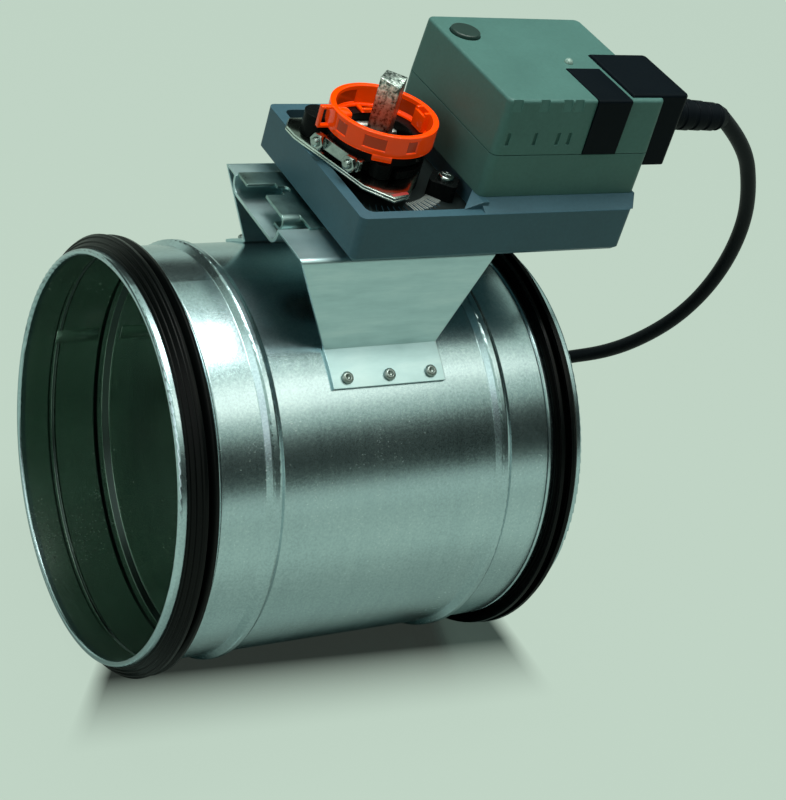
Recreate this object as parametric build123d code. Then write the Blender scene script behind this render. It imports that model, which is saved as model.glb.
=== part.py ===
from build123d import *
import math
import os

# Round airtight shut-off damper with a rotary electric actuator. Millimetres.
# Everything is drawn about the point where the blade shaft crosses the duct's axis, with X along the
# duct, Z up the shaft, and is moved to the centre of the inlet mouth at the end.

# Casing: a rolled tube that slips into a 160 mm duct
CASING_LENGTH = 172.0
CASING_RADIUS = 79.5
SHEET = 0.8
HEM_LENGTH = 3.2
HEM_THICKNESS = 2.4
SEAT_END = 12.9
STEP_RUN = 0.8
LINE_GROOVE_AT = 15.2
LINE_GROOVE_WIDTH = 1.6
LINE_GROOVE_DEPTH = 0.6
BEAD_START = 33.8
BEAD_WIDTH = 7.0
BEAD_HEIGHT = 2.0
BEAD_SLOPE = 2.4

# Duct seals: a strip in the seat with two lips
LIP_HEIGHT = 5.0
LIP_THICKNESS = 1.3
FIRST_LIP_TIP = 8.2
SECOND_LIP_TIP = 12.6
SEAL_STRIP = 1.9
SEAL_GAP = 0.1

# Blade: two pressed discs that clamp a rubber seal, turned by a square bar
BLADE_SHEET = 0.8
BLADE_SEAL_CLEARANCE = 0.35
BLADE_SEAL_OVERHANG = 1.35
BLADE_SEAL_WIDTH = 10.35
BLADE_SEAL_THICKNESS = 2.0
BLADE_FLAT_DEPTH = 2.7
BLADE_FLAT_MARGIN = 2.5
BLADE_RIVET_RADIUS = 1.6
BLADE_RIVET_HEAD = 3.0
BLADE_RIVET_INSET = 13.0
BLADE_RIVETS = 8
SHAFT_SIDE = 8.0
SHAFT_TURN = 45.0
SHAFT_STICK_OUT = 21.8
SHAFT_FOOT = 3.7
SHAFT_SHEAR = 1.6
SHAFT_CLEARANCE = 0.1

# Bearings in the casing
BUSH_RADIUS = 7.0
BUSH_FLANGE_RADIUS = 9.5
BUSH_FLANGE = 1.2
COLLAR_RADIUS = 9.0
COLLAR_FLANGE_RADIUS = 11.5
COLLAR_FLANGE = 1.2
RUNNING_GAP = 0.05
THRUST_GAP = 0.3
RETAINER_THICKNESS = 1.6
RING_SECTION = 0.55

# Bracket: one folded sheet that carries the actuator
BRACKET_SHEET = 1.25
BRACKET_LEFT = 39.4
BRACKET_RIGHT = 43.0
BRACKET_RISE = 29.4
BRACKET_HALF_WIDTH = 33.5
BRACKET_FOOT_Y = 36.9
BRACKET_FOOT_LEFT = 22.2
BRACKET_FOOT_RIGHT = 25.8
BRACKET_FLANGE_TOP = 63.0
BRACKET_FLANGE_END = 52.0
BRACKET_OUTLINE_FOOT = 40.0
BRACKET_BEND = 2.0
BRACKET_SCREW_ANGLE = 54.7
BRACKET_SCREW_PITCH = 17.8
BRACKET_SCREW_MIDDLE = 2.0
BRACKET_SCREW_RADIUS = 1.9
BRACKET_BORE = 15.0
STRAP_SHEET = 1.1
STRAP_LEFT = 27.0
STRAP_FINGER_REACH = 38.6
STRAP_FINGER_RIGHT = 24.0
STRAP_BACK = 24.2
STRAP_SLOT_BACK = 15.9
STRAP_SLOT_FRONT = 8.3
STRAP_FRONT = -4.8
STRAP_CURL_LEFT = 34.4
STRAP_CURL_RIGHT = 22.0
STRAP_CURL_RADIUS = 3.1
TROUGH_BACK = 24.0
TROUGH_FRONT = -13.0
TROUGH_RIGHT = -20.0
TROUGH_DEPTH = 5.6
TROUGH_BEND = 4.0

# Actuator base: a tray with a recess at the shaft end
BASE_LEFT = 23.9
BASE_RIGHT = 93.7
BASE_HALF_WIDTH = 39.9
PAD_THICKNESS = 2.3
BASE_HEIGHT = 18.6
BASE_WALL = 2.0
BASE_CORNER = 2.6
BASE_CHAMFER = 2.0
RECESS_LEFT = 19.4
RECESS_RIGHT = 29.5
RECESS_HALF_WIDTH = 35.6
RECESS_DEPTH = 5.2
RECESS_CORNER = 3.0
WEB_RUN = 9.5
WEB_SPAN = 11.0
SHOULDER_RISE = 2.8
SCALE_INNER = 25.0
SCALE_OUTER = 30.5
SCALE_STEP = 5.0
SCALE_HEIGHT = 0.5
SCALE_TICK = 0.5
SCALE_SPREAD = 35.0

# Actuator housing: a lower shell and a cover
HOUSING_LEFT = 27.4
HOUSING_RIGHT = 98.0
HOUSING_HALF_WIDTH = 32.6
LOWER_HOUSING_HEIGHT = 17.0
COVER_HEIGHT = 22.0
HOUSING_WALL = 2.2
HOUSING_CORNER = 3.0
HOUSING_DRAFT = 1.2
SEAM_GAP = 0.3
NOTCH_POSITIONS = (32.0, 43.6, 53.6, 58.6)
NOTCH_WIDTH = 4.0
NOTCH_HEIGHT = 5.2
NOTCH_DEPTH = 1.4
SLOT_DROP = 15.4
SLOT_WIDTH = 1.6
SLOT_HEIGHT = 5.0
SLOT_DEPTH = 0.9

# Release button and status light
BUTTON_X = 37.6
BUTTON_Y = 18.4
BUTTON_RADIUS = 5.7
BUTTON_STEM_RADIUS = 3.6
BUTTON_PROUD = 1.4
BUTTON_CAP = 4.0
SWITCH_HEIGHT = 5.0
SWITCH_GAP = 0.4
BUTTON_TRAVEL = 3.0
BUTTON_GAP = 0.3
LENS_X = 70.8
LENS_Y = -3.6
LENS_RADIUS = 1.7

# Black covers over the terminals
COVER_LEFT = 66.5
COVER_RIGHT = 81.6
COVER_BACK = -8.6
COVER_THICKNESS = 1.2
CAP_LEFT = 83.4
CAP_RIGHT = 110.0
CAP_BACK = 2.0
CAP_FRONT = -29.8
CAP_PROUD = 1.0
CAP_SKIRT = 6.6
CAP_CORNER = 2.2

# Cable boot and cable
BOOT_Y = -14.0
BOOT_DROP = 15.1
BOOT_ROOT_RADIUS = 6.6
BOOT_TIP_RADIUS = 5.3
BOOT_END_RADIUS = 3.9
BOOT_LENGTH = 35.0
BOOT_TIP = 3.5
BOOT_RIBS = 5
BOOT_DROOP = 4.0
BOOT_SAG = 2.45
CABLE_RADIUS = 3.2

# Drive through the base: hub, clamp and gears
HUB_RADIUS = 12.0
HUB_UPPER_RADIUS = 8.4
HUB_BORE = 6.3
HUB_DISC_RADIUS = 18.5
HUB_DISC_GAP = 0.4
HUB_DISC_THICKNESS = 4.9
PLATE_GAP = 0.2
PLATE_THICKNESS = 1.9
PLATE_REACH = 20.0
PLATE_CORNERS = ((-1.13, 1.3), (-1.3, 1.025), (-1.28, 0.7), (-0.745, -1.09), (-0.34, -1.56),
                 (0.03, -1.43), (0.68, -0.6), (0.875, 0.3), (0.5, 0.875), (-0.7, 1.31))
HUB_NECK_RADIUS = 13.4
HUB_WAIST_RADIUS = 15.4
HUB_WAIST_HEIGHT = 5.4
HUB_STEP_HEIGHT = 2.6
HUB_BODY_HEIGHT = 9.0
HUB_CAVITY_RADIUS = 13.2
HUB_CAVITY_DEPTH = 6.7
LOBE_RADIUS = 5.5
LOBE_X = -17.0
LOBE_Y = 15.0
FRONT_LOBE_RADIUS = 4.1
FRONT_LOBE_X = -5.2
FRONT_LOBE_Y = -14.8
JAW_THICKNESS = 3.6
U_BOLT_RADIUS = 1.6
U_BOLT_HALF_SPAN = 8.2
U_BOLT_LIFT = 2.2
U_BOLT_LEG = 24.2
CLAMP_TURN = 18.0
YOKE_THICKNESS = 1.6
YOKE_AT = 18.9
NUT_RADIUS = 3.3
NUT_THICKNESS = 2.5
RING_RADIUS = 20.2
RING_WALL = 2.2
RING_HEIGHT = 8.5
RING_TAB_HEIGHT = 8.4
RING_TAB_WIDTH = 2.0
RING_TAB_FRONT = 2.4
RING_TAB_REACH = 24.4
STOP_ANGLE = -39.0
STOP_RADIUS = 28.0
STOP_RISE = 1.4

# Gears
MODULE = 0.8
OUTPUT_TEETH = 48
WHEEL_TEETH = 32
PINION_TEETH = 16
PRESSURE_ANGLE = 20.0
BACKLASH = 0.16
CENTRE_GAP = 0.08
WHEEL_THICKNESS = 2.0
GEAR_STEP = 0.4
AXLE_RADIUS = 1.5
MOTOR_RADIUS = 13.0
MOTOR_HEIGHT = 18.0
MOTOR_SHAFT_RADIUS = 1.0
GEAR_PLATE_THICKNESS = 1.2
BOARD_THICKNESS = 1.6

# Levels and radii that follow from the values above, from the duct's axis up
SHAFT_X = CASING_LENGTH / 2
HALF = CASING_LENGTH / 2
BORE_RADIUS = CASING_RADIUS - SHEET
NECK_RADIUS = CASING_RADIUS - 0.2 - HEM_THICKNESS
BLADE_SEAL_RADIUS = BORE_RADIUS - BLADE_SEAL_CLEARANCE
BLADE_SEAL_INNER = BLADE_SEAL_RADIUS - BLADE_SEAL_WIDTH
BLADE_RADIUS = BLADE_SEAL_RADIUS - BLADE_SEAL_OVERHANG
BLADE_FLAT = BLADE_RADIUS - BLADE_FLAT_DEPTH
BLADE_FLAT_HALF_WIDTH = BUSH_FLANGE_RADIUS + BLADE_FLAT_MARGIN
BLADE_RIVET_CIRCLE = BLADE_RADIUS - BLADE_RIVET_INSET
SHAFT_BOTTOM = CASING_RADIUS + SHAFT_FOOT
LIP_RADIUS = NECK_RADIUS + SHEET + SEAL_STRIP + LIP_HEIGHT
BRACKET_TOP = CASING_RADIUS + BRACKET_RISE
BASE_BOTTOM = BRACKET_TOP + PAD_THICKNESS
BASE_RIM = BASE_BOTTOM + BASE_HEIGHT
RECESS_FLOOR = BASE_RIM - RECESS_DEPTH
SHOULDER_TOP = BASE_RIM + SHOULDER_RISE
HOUSING_SEAM = SHOULDER_TOP + LOWER_HOUSING_HEIGHT
HOUSING_TOP = HOUSING_SEAM + COVER_HEIGHT
CAP_TOP = HOUSING_TOP + CAP_PROUD
CAP_BOTTOM = HOUSING_SEAM - CAP_SKIRT
BOOT_Z = HOUSING_TOP - BOOT_DROP
HUB_DISC_BOTTOM = RECESS_FLOOR + HUB_DISC_GAP
HUB_DISC_TOP = HUB_DISC_BOTTOM + HUB_DISC_THICKNESS
PLATE_BOTTOM = HUB_DISC_TOP + PLATE_GAP
PLATE_TOP = PLATE_BOTTOM + PLATE_THICKNESS
HUB_BODY_BOTTOM = PLATE_TOP + PLATE_GAP
HUB_BODY_TOP = HUB_BODY_BOTTOM + HUB_BODY_HEIGHT
HUB_CAVITY_FLOOR = HUB_BODY_TOP - HUB_CAVITY_DEPTH
U_BOLT_HEIGHT = HUB_CAVITY_FLOOR + U_BOLT_LIFT
RING_BOTTOM = HUB_BODY_TOP + PLATE_GAP
RING_TOP = RING_BOTTOM + RING_HEIGHT
SHAFT_TOP = HUB_BODY_TOP + SHAFT_STICK_OUT
OUTPUT_GEAR_BOTTOM = BASE_BOTTOM + BASE_WALL + GEAR_STEP
GEAR_SPACE = RECESS_FLOOR - BASE_WALL - OUTPUT_GEAR_BOTTOM
OUTPUT_GEAR_THICKNESS = GEAR_SPACE - 2 * (WHEEL_THICKNESS + GEAR_STEP) - 0.6
PARTS_FOLDER = "parts"


def box(x0, x1, y0, y1, z0, z1):
    """Box between two corners."""
    return Pos((x0 + x1) / 2, (y0 + y1) / 2, (z0 + z1) / 2) * Box(x1 - x0, y1 - y0, z1 - z0)


def rod(radius, z0, z1, x=0.0, y=0.0):
    """Round bar parallel to Z between two heights."""
    return Pos(x, y, (z0 + z1) / 2) * Cylinder(radius, z1 - z0)


def tube(outer, inner, z0, z1, x=0.0, y=0.0):
    """Round sleeve parallel to Z between two heights."""
    return rod(outer, z0, z1, x, y) - rod(inner, z0 - 1, z1 + 1, x, y)


def square_bar(side, z0, z1):
    """Square bar on the shaft's axis, turned like the damper shaft."""
    return Rot(0, 0, SHAFT_TURN) * box(-side / 2, side / 2, -side / 2, side / 2, z0, z1)


def duct_disc(radius, x0, x1):
    """Disc across the duct between two stations."""
    return Pos((x0 + x1) / 2, 0, 0) * Rot(0, 90, 0) * Cylinder(radius, x1 - x0)


def slab(x0, x1, half_width, z0, z1, corner):
    """Block with rounded upright edges, symmetric about the duct's axis."""
    body = box(x0, x1, -half_width, half_width, z0, z1)
    return fillet(body.edges().filter_by(Axis.Z), corner)


def casing_line():
    """Inner line of the rolled sheet from hem to hem, as (x, radius) points and radii."""
    hem_outer = NECK_RADIUS + HEM_THICKNESS
    hem_fillet = HEM_THICKNESS / 2 - 0.01
    half = [
        (HEM_LENGTH, hem_outer, None),
        (0.0, hem_outer, hem_fillet),
        (0.0, NECK_RADIUS, hem_fillet),
        (SEAT_END, NECK_RADIUS, 0.3),
        (SEAT_END + STEP_RUN, BORE_RADIUS, 1.1),
        (LINE_GROOVE_AT, BORE_RADIUS, 0.2),
        (LINE_GROOVE_AT + LINE_GROOVE_WIDTH / 2, BORE_RADIUS - LINE_GROOVE_DEPTH, 0.15),
        (LINE_GROOVE_AT + LINE_GROOVE_WIDTH, BORE_RADIUS, 0.2),
        (BEAD_START, BORE_RADIUS, 1.0),
        (BEAD_START + BEAD_SLOPE, BORE_RADIUS + BEAD_HEIGHT, 0.8),
        (BEAD_START + BEAD_WIDTH - BEAD_SLOPE, BORE_RADIUS + BEAD_HEIGHT, 0.8),
        (BEAD_START + BEAD_WIDTH, BORE_RADIUS, 1.0),
    ]
    inlet = [(x - HALF, r, f) for x, r, f in half]
    outlet = [(HALF - x, r, f) for x, r, f in reversed(half)]
    line = inlet + outlet
    points = [(x, r) for x, r, _ in line]
    radii = [f for _, _, f in line[1:-1]]
    return points, radii


def make_casing():
    """Rolled tube with hemmed mouths, seal seats, stop beads and the holes for shaft and screws."""
    points, radii = casing_line()
    line = Plane.XZ * FilletPolyline(*points, radius=radii)
    section = make_face(offset(line, SHEET, side=Side.LEFT).edges())
    if section.bounding_box().max.Z < CASING_RADIUS + BEAD_HEIGHT - 0.01:
        section = make_face(offset(line, SHEET, side=Side.RIGHT).edges())
    shell = revolve(section, Axis.X, 360)
    shell -= rod(COLLAR_RADIUS + SHAFT_CLEARANCE, -CASING_RADIUS - 5, CASING_RADIUS + 5)
    for x, side in screw_places():
        shell -= screw_frame(x, side) * Cylinder(BRACKET_SCREW_RADIUS + SHAFT_CLEARANCE, 8)
    return shell


def make_duct_seal(outlet):
    """Rubber seal of one mouth: a strip in the seat and two lips that lean back."""
    seat = NECK_RADIUS + SHEET
    strip_top = seat + SEAL_STRIP
    first_root = HEM_LENGTH + SEAL_GAP
    second_root = SEAT_END - 4.4
    outline = [
        (first_root, seat),
        (first_root, strip_top),
        (FIRST_LIP_TIP - LIP_THICKNESS / 2, LIP_RADIUS),
        (FIRST_LIP_TIP + LIP_THICKNESS / 2, LIP_RADIUS - 0.2),
        (first_root + 2 * LIP_THICKNESS, strip_top),
        (second_root, strip_top),
        (SECOND_LIP_TIP - LIP_THICKNESS / 2, LIP_RADIUS - 0.4),
        (SECOND_LIP_TIP + LIP_THICKNESS / 2, LIP_RADIUS - 0.7),
        (second_root + 1.6 * LIP_THICKNESS, strip_top),
        (SEAT_END - 0.9, strip_top - 0.6),
        (SEAT_END - 0.9, seat),
    ]
    face = Plane.XZ * make_face(Polyline(*[(x - HALF, r) for x, r in outline], close=True))
    seal = revolve(face, Axis.X, 360)
    return mirror(seal, Plane.YZ) if outlet else seal


def bush_flat_cut(radius_gap):
    """Two blocks that flatten the blade beside its bearings."""
    reach = BLADE_SEAL_RADIUS + BLADE_FLAT_DEPTH
    flat = BLADE_FLAT + radius_gap
    thick = BLADE_FLAT_HALF_WIDTH
    upper = box(-thick, thick, -BLADE_FLAT_HALF_WIDTH, BLADE_FLAT_HALF_WIDTH, flat, reach)
    return upper + mirror(upper, Plane.XY)


def make_blade_disc(side):
    """Pressed disc with a raised channel that wraps half of the square bar."""
    inner = side * BLADE_SEAL_THICKNESS / 2
    outer = inner + side * BLADE_SHEET
    low, high = min(inner, outer), max(inner, outer)
    plate = duct_disc(BLADE_RADIUS, low, high)
    wall = SHAFT_SIDE + 2 * SHAFT_CLEARANCE + 2 * BLADE_SHEET
    channel = square_bar(wall, -BLADE_FLAT, BLADE_FLAT)
    left, right = (low, wall) if side > 0 else (-wall, high)
    keep = box(left, right, -wall, wall, -BLADE_FLAT, BLADE_FLAT)
    disc = plate + (channel & keep)
    disc -= square_bar(SHAFT_SIDE + 2 * SHAFT_CLEARANCE, -CASING_RADIUS, CASING_RADIUS)
    disc -= bush_flat_cut(0)
    return disc - rivet_pins(BLADE_RIVET_RADIUS)


def rivet_pins(radius):
    """Rivet shanks through the blade, spaced round it clear of the bar."""
    pins = []
    for k in range(BLADE_RIVETS):
        angle = math.radians(360 / BLADE_RIVETS * (k + 0.5))
        place = Pos(0, BLADE_RIVET_CIRCLE * math.sin(angle), BLADE_RIVET_CIRCLE * math.cos(angle))
        pins.append(place * Rot(0, 90, 0) * Cylinder(radius, BLADE_SEAL_THICKNESS + 2 * BLADE_SHEET))
    return Compound(children=pins)


def make_blade_seal():
    """Rubber ring clamped between the discs; its edge runs in the casing."""
    half = BLADE_SEAL_THICKNESS / 2
    ring = duct_disc(BLADE_SEAL_RADIUS, -half, half) - duct_disc(BLADE_SEAL_INNER, -half - 1, half + 1)
    ring -= square_bar(SHAFT_SIDE + 2 * SHAFT_CLEARANCE, -CASING_RADIUS, CASING_RADIUS)
    return ring - bush_flat_cut(0.6)


def make_blade_rivets():
    """Rivets and spacer rings that hold the two discs together."""
    rivets = []
    half = BLADE_SEAL_THICKNESS / 2
    face = half + BLADE_SHEET
    for k in range(BLADE_RIVETS):
        angle = math.radians(360 / BLADE_RIVETS * (k + 0.5))
        y, z = BLADE_RIVET_CIRCLE * math.sin(angle), BLADE_RIVET_CIRCLE * math.cos(angle)
        head = Cylinder(BLADE_RIVET_HEAD, 1.0)
        shank = Cylinder(BLADE_RIVET_RADIUS, 2 * face)
        spacer = Cylinder(BLADE_RIVET_HEAD, BLADE_SEAL_THICKNESS)
        rivet = shank + spacer + Pos(0, 0, face + 0.5) * head + Pos(0, 0, -face - 0.5) * head
        rivets.append(Pos(0, y, z) * Rot(0, 90, 0) * rivet)
    return Compound(children=rivets)


def make_shaft():
    """Square steel bar through the blade, sheared off at a slant at its upper end."""
    bar = square_bar(SHAFT_SIDE, -SHAFT_BOTTOM, SHAFT_TOP)
    corner = SHAFT_SIDE / math.sqrt(2)
    tilt = math.degrees(math.atan2(SHAFT_SHEAR, corner))
    reach = 2 * SHAFT_SIDE
    cutter = Pos(0, 0, SHAFT_TOP) * Rot(tilt, 0, 0) * box(-reach, reach, -reach, 0, 0, reach)
    return bar - cutter


def make_bush(side):
    """Plastic bush on the square bar, with a thrust flange inside the duct."""
    flange_top = collar_flange_face() - THRUST_GAP
    flange_low = flange_top - BUSH_FLANGE
    body = rod(BUSH_RADIUS, flange_low, CASING_RADIUS + 3.0)
    body += rod(BUSH_FLANGE_RADIUS, flange_low, flange_top)
    groove = Pos(0, 0, CASING_RADIUS) * Torus(BUSH_RADIUS - RING_SECTION, RING_SECTION + 0.02)
    body -= groove
    body -= square_bar(SHAFT_SIDE + 2 * SHAFT_CLEARANCE, flange_low - 1, CASING_RADIUS + 4)
    return body if side > 0 else mirror(body, Plane.XY)


def collar_flange_face():
    """Height of the collar flange's inner face, clear of the curved bore."""
    clear = math.sqrt(BORE_RADIUS**2 - COLLAR_FLANGE_RADIUS**2)
    return clear - 0.05 - COLLAR_FLANGE


def make_collar(side):
    """Flanged bearing collar pushed up through the casing's hole."""
    face = collar_flange_face()
    body = rod(COLLAR_RADIUS, face, CASING_RADIUS + 2.2)
    body += rod(COLLAR_FLANGE_RADIUS, face, face + COLLAR_FLANGE)
    body -= rod(BUSH_RADIUS + RUNNING_GAP, face - 1, CASING_RADIUS + 5)
    return body if side > 0 else mirror(body, Plane.XY)


def make_shaft_rings():
    """Rubber rings in the grooves of the two bushes."""
    upper = Pos(0, 0, CASING_RADIUS) * Torus(BUSH_RADIUS - RING_SECTION, RING_SECTION)
    return Compound(children=[upper, mirror(upper, Plane.XY)])


def make_collar_retainers():
    """Push-on rings that hold the collars from outside."""
    low = CASING_RADIUS + 0.05
    upper = tube(COLLAR_FLANGE_RADIUS, COLLAR_RADIUS + 0.03, low, low + RETAINER_THICKNESS)
    return Compound(children=[upper, mirror(upper, Plane.XY)])


def screw_places():
    """Station and side of each screw through the bracket's flanges."""
    return [(BRACKET_SCREW_MIDDLE + k * BRACKET_SCREW_PITCH, side) for side in (-1, 1) for k in (-1, 0, 1)]


def screw_frame(x, side):
    """Place on the casing's surface with local Z pointing out along the radius."""
    angle = BRACKET_SCREW_ANGLE
    y = side * CASING_RADIUS * math.cos(math.radians(angle))
    z = CASING_RADIUS * math.sin(math.radians(angle))
    return Pos(x, y, z) * Rot(-side * (90 - angle), 0, 0)


def bracket_side(y):
    """Half of the bracket's folded section in the plane across the duct, as a face."""
    low = math.radians(BRACKET_FLANGE_END)
    top = math.radians(BRACKET_FLANGE_TOP)
    mid = (low + top) / 2
    seat = CASING_RADIUS + 0.02

    def at(angle, radius):
        return (-radius * math.cos(angle), radius * math.sin(angle))

    thick = seat + BRACKET_SHEET
    knee_outer = at(top, thick)
    knee_inner = at(top, seat)
    slope_gap = BRACKET_SHEET / math.cos(math.atan2(BRACKET_FOOT_Y - BRACKET_HALF_WIDTH, 36.0))
    with BuildSketch(Plane.YZ) as sketch:
        with BuildLine():
            Line((y, BRACKET_TOP), (-BRACKET_HALF_WIDTH, BRACKET_TOP))
            Line((-BRACKET_HALF_WIDTH, BRACKET_TOP), knee_outer)
            ThreePointArc(knee_outer, at(mid, thick), at(low, thick))
            Line(at(low, thick), at(low, seat))
            ThreePointArc(at(low, seat), at(mid, seat), knee_inner)
            Line(knee_inner, (knee_inner[0] + slope_gap * 0.9, knee_inner[1] + 1.2))
            Line((knee_inner[0] + slope_gap * 0.9, knee_inner[1] + 1.2),
                 (-BRACKET_HALF_WIDTH + slope_gap, BRACKET_TOP - BRACKET_SHEET))
            Line((-BRACKET_HALF_WIDTH + slope_gap, BRACKET_TOP - BRACKET_SHEET), (y, BRACKET_TOP - BRACKET_SHEET))
            Line((y, BRACKET_TOP - BRACKET_SHEET), (y, BRACKET_TOP))
        make_face()
    return sketch.sketch


def make_bracket():
    """Sheet bridge: a top plate, two walls that taper down and curved flanges on the tube."""
    reach = BRACKET_LEFT + BRACKET_RIGHT
    near = extrude(bracket_side(0.0), amount=reach, both=True)
    bends = near.edges().filter_by(Axis.X)
    outer_bend = bends.group_by(Axis.Z)[-1].sort_by(Axis.Y)[0]
    near = fillet(outer_bend, BRACKET_BEND)
    body = near + mirror(near, Plane.XZ)
    foot_z = BRACKET_FOOT_Y * math.tan(math.radians(BRACKET_FLANGE_TOP))
    outline = Polyline(
        (-BRACKET_LEFT, BRACKET_TOP + 5),
        (-BRACKET_LEFT, BRACKET_TOP),
        (-BRACKET_FOOT_LEFT, foot_z),
        (-BRACKET_FOOT_LEFT + 0.6, BRACKET_OUTLINE_FOOT),
        (BRACKET_FOOT_RIGHT - 0.6, BRACKET_OUTLINE_FOOT),
        (BRACKET_FOOT_RIGHT, foot_z),
        (BRACKET_RIGHT, BRACKET_TOP),
        (BRACKET_RIGHT, BRACKET_TOP + 5),
        close=True,
    )
    body &= extrude(Plane.XZ * make_face(outline), amount=reach, both=True)
    body -= rod(BRACKET_BORE, BRACKET_TOP - 5, BRACKET_TOP + 5)
    for x, side in screw_places():
        body -= screw_frame(x, side) * Cylinder(BRACKET_SCREW_RADIUS + SHAFT_CLEARANCE, 12)
    body -= trough_block(0, BRACKET_SHEET)
    return body + (trough_block(BRACKET_SHEET, 0) - trough_block(0, BRACKET_SHEET))


def trough_block(grow, reach):
    """Round-bottomed block at the bracket's left edge, used for the pressed trough and its hollow."""
    low = BRACKET_TOP - TROUGH_DEPTH - grow
    block = box(-BRACKET_LEFT, TROUGH_RIGHT + grow, TROUGH_FRONT - grow, TROUGH_BACK + grow, low, BRACKET_TOP)
    bottom = block.edges().filter_by(Axis.X).group_by(Axis.Z)[0]
    block = fillet(bottom, TROUGH_BEND + grow)
    if reach:
        block = block + Pos(-reach, 0, 0) * block + Pos(0, 0, reach) * block
    return block


def make_strap():
    """Anti-rotation strap under the actuator: a flat finger, a slot and a finger with a curled end."""
    z0 = BRACKET_TOP + 0.02
    z1 = z0 + STRAP_SHEET
    plate = box(-STRAP_LEFT, -STRAP_LEFT + 13, TROUGH_FRONT - 0.9, STRAP_BACK, z0, z1)
    back = box(-STRAP_FINGER_REACH, -STRAP_FINGER_RIGHT, STRAP_SLOT_BACK, STRAP_BACK, z0, z1)
    front = box(-STRAP_CURL_LEFT, -STRAP_CURL_RIGHT, STRAP_FRONT, STRAP_SLOT_FRONT, z0, z1)
    slot_y = (STRAP_SLOT_BACK + STRAP_SLOT_FRONT) / 2
    slot_r = (STRAP_SLOT_BACK - STRAP_SLOT_FRONT) / 2 - 1.6
    slot = box(-STRAP_LEFT - 1, -STRAP_LEFT + 2, slot_y - slot_r, slot_y + slot_r, z0 - 1, z1 + 1)
    slot += rod(slot_r, z0 - 1, z1 + 1, -STRAP_LEFT + 2, slot_y)
    strap = plate + back + front - slot
    return strap + strap_curl(z1)


def strap_curl(z1):
    """Sheet curled down and back under the front finger."""
    outer = STRAP_CURL_RADIUS
    inner = outer - STRAP_SHEET
    middle_x = (-STRAP_CURL_LEFT - STRAP_CURL_RIGHT) / 2
    length = STRAP_CURL_LEFT - STRAP_CURL_RIGHT
    place = Pos(middle_x, STRAP_FRONT, z1 - outer) * Rot(0, 90, 0)
    ring = place * (Cylinder(outer, length) - Cylinder(inner, length + 2))
    front_half = box(-BRACKET_LEFT, 0, STRAP_FRONT - 2 * outer, STRAP_FRONT, z1 - 3 * outer, z1 + 1)
    lower = box(-STRAP_CURL_LEFT, -STRAP_CURL_RIGHT, STRAP_FRONT, STRAP_FRONT + 3.2,
                z1 - 2 * outer, z1 - 2 * outer + STRAP_SHEET)
    return (ring & front_half) + lower


def make_bracket_screws():
    """Pan-head screws that hold the bracket's flanges."""
    screws = []
    seat = BRACKET_SHEET + 0.1
    reach = 0.7 * SHEET
    for x, side in screw_places():
        head = Pos(0, 0, seat + 0.9) * Cylinder(3.1, 1.8)
        head = fillet(head.edges().group_by(Axis.Z)[-1], 0.7)
        drive = Pos(0, 0, seat + 1.5) * (Box(3.0, 0.7, 1.0) + Box(0.7, 3.0, 1.0))
        shank = Pos(0, 0, (seat - reach) / 2) * Cylinder(BRACKET_SCREW_RADIUS, seat + reach)
        screws.append(screw_frame(x, side) * (head + shank - drive))
    return Compound(children=screws)


def make_pad():
    """Thin gasket between the bracket and the actuator."""
    z0 = BRACKET_TOP + 0.02
    half = BRACKET_HALF_WIDTH - 3.5
    sheet = box(-STRAP_LEFT + 13.1, BRACKET_RIGHT - 7, -half, half, z0, BASE_BOTTOM)
    return sheet - rod(BRACKET_BORE, z0 - 1, BASE_BOTTOM + 1)


def make_base():
    """Tray moulding: rim and recess at the shaft end, shoulders up to the housing, hollow underneath."""
    tray = slab(-BASE_LEFT, BASE_RIGHT, BASE_HALF_WIDTH, BASE_BOTTOM, BASE_RIM, BASE_CORNER)
    tray = chamfer(tray.faces().sort_by(Axis.Z)[0].edges(), BASE_CHAMFER)
    foot = Rectangle(BASE_RIGHT - HOUSING_LEFT, 2 * BASE_HALF_WIDTH - 1.0)
    foot = Pos((BASE_RIGHT + HOUSING_LEFT) / 2, 0, BASE_RIM) * foot
    crown = Rectangle(HOUSING_RIGHT - HOUSING_LEFT - 0.5, 2 * HOUSING_HALF_WIDTH + 0.4)
    crown = Pos((HOUSING_RIGHT + HOUSING_LEFT) / 2, 0, SHOULDER_TOP) * crown
    body = tray + loft([foot, crown])
    body -= fillet(box(-RECESS_LEFT, RECESS_RIGHT, -RECESS_HALF_WIDTH, RECESS_HALF_WIDTH,
                       RECESS_FLOOR, SHOULDER_TOP + 5).edges().filter_by(Axis.Z), RECESS_CORNER)
    body += recess_webs()
    floor = RECESS_FLOOR - BASE_WALL
    body -= box(-BASE_LEFT + BASE_WALL, BASE_RIGHT - BASE_WALL, -BASE_HALF_WIDTH + BASE_WALL,
                BASE_HALF_WIDTH - BASE_WALL, BASE_BOTTOM + BASE_WALL, floor)
    body -= box(RECESS_RIGHT + BASE_WALL, BASE_RIGHT - BASE_WALL, -HOUSING_HALF_WIDTH + HOUSING_WALL,
                HOUSING_HALF_WIDTH - HOUSING_WALL, floor - 1, SHOULDER_TOP + 1)
    body -= rod(HUB_RADIUS + RUNNING_GAP, BASE_BOTTOM - 1, BASE_BOTTOM + BASE_WALL + 1)
    body -= rod(HUB_UPPER_RADIUS + RUNNING_GAP, floor - 1, RECESS_FLOOR + 1)
    body += scale_ticks()
    return body


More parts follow.
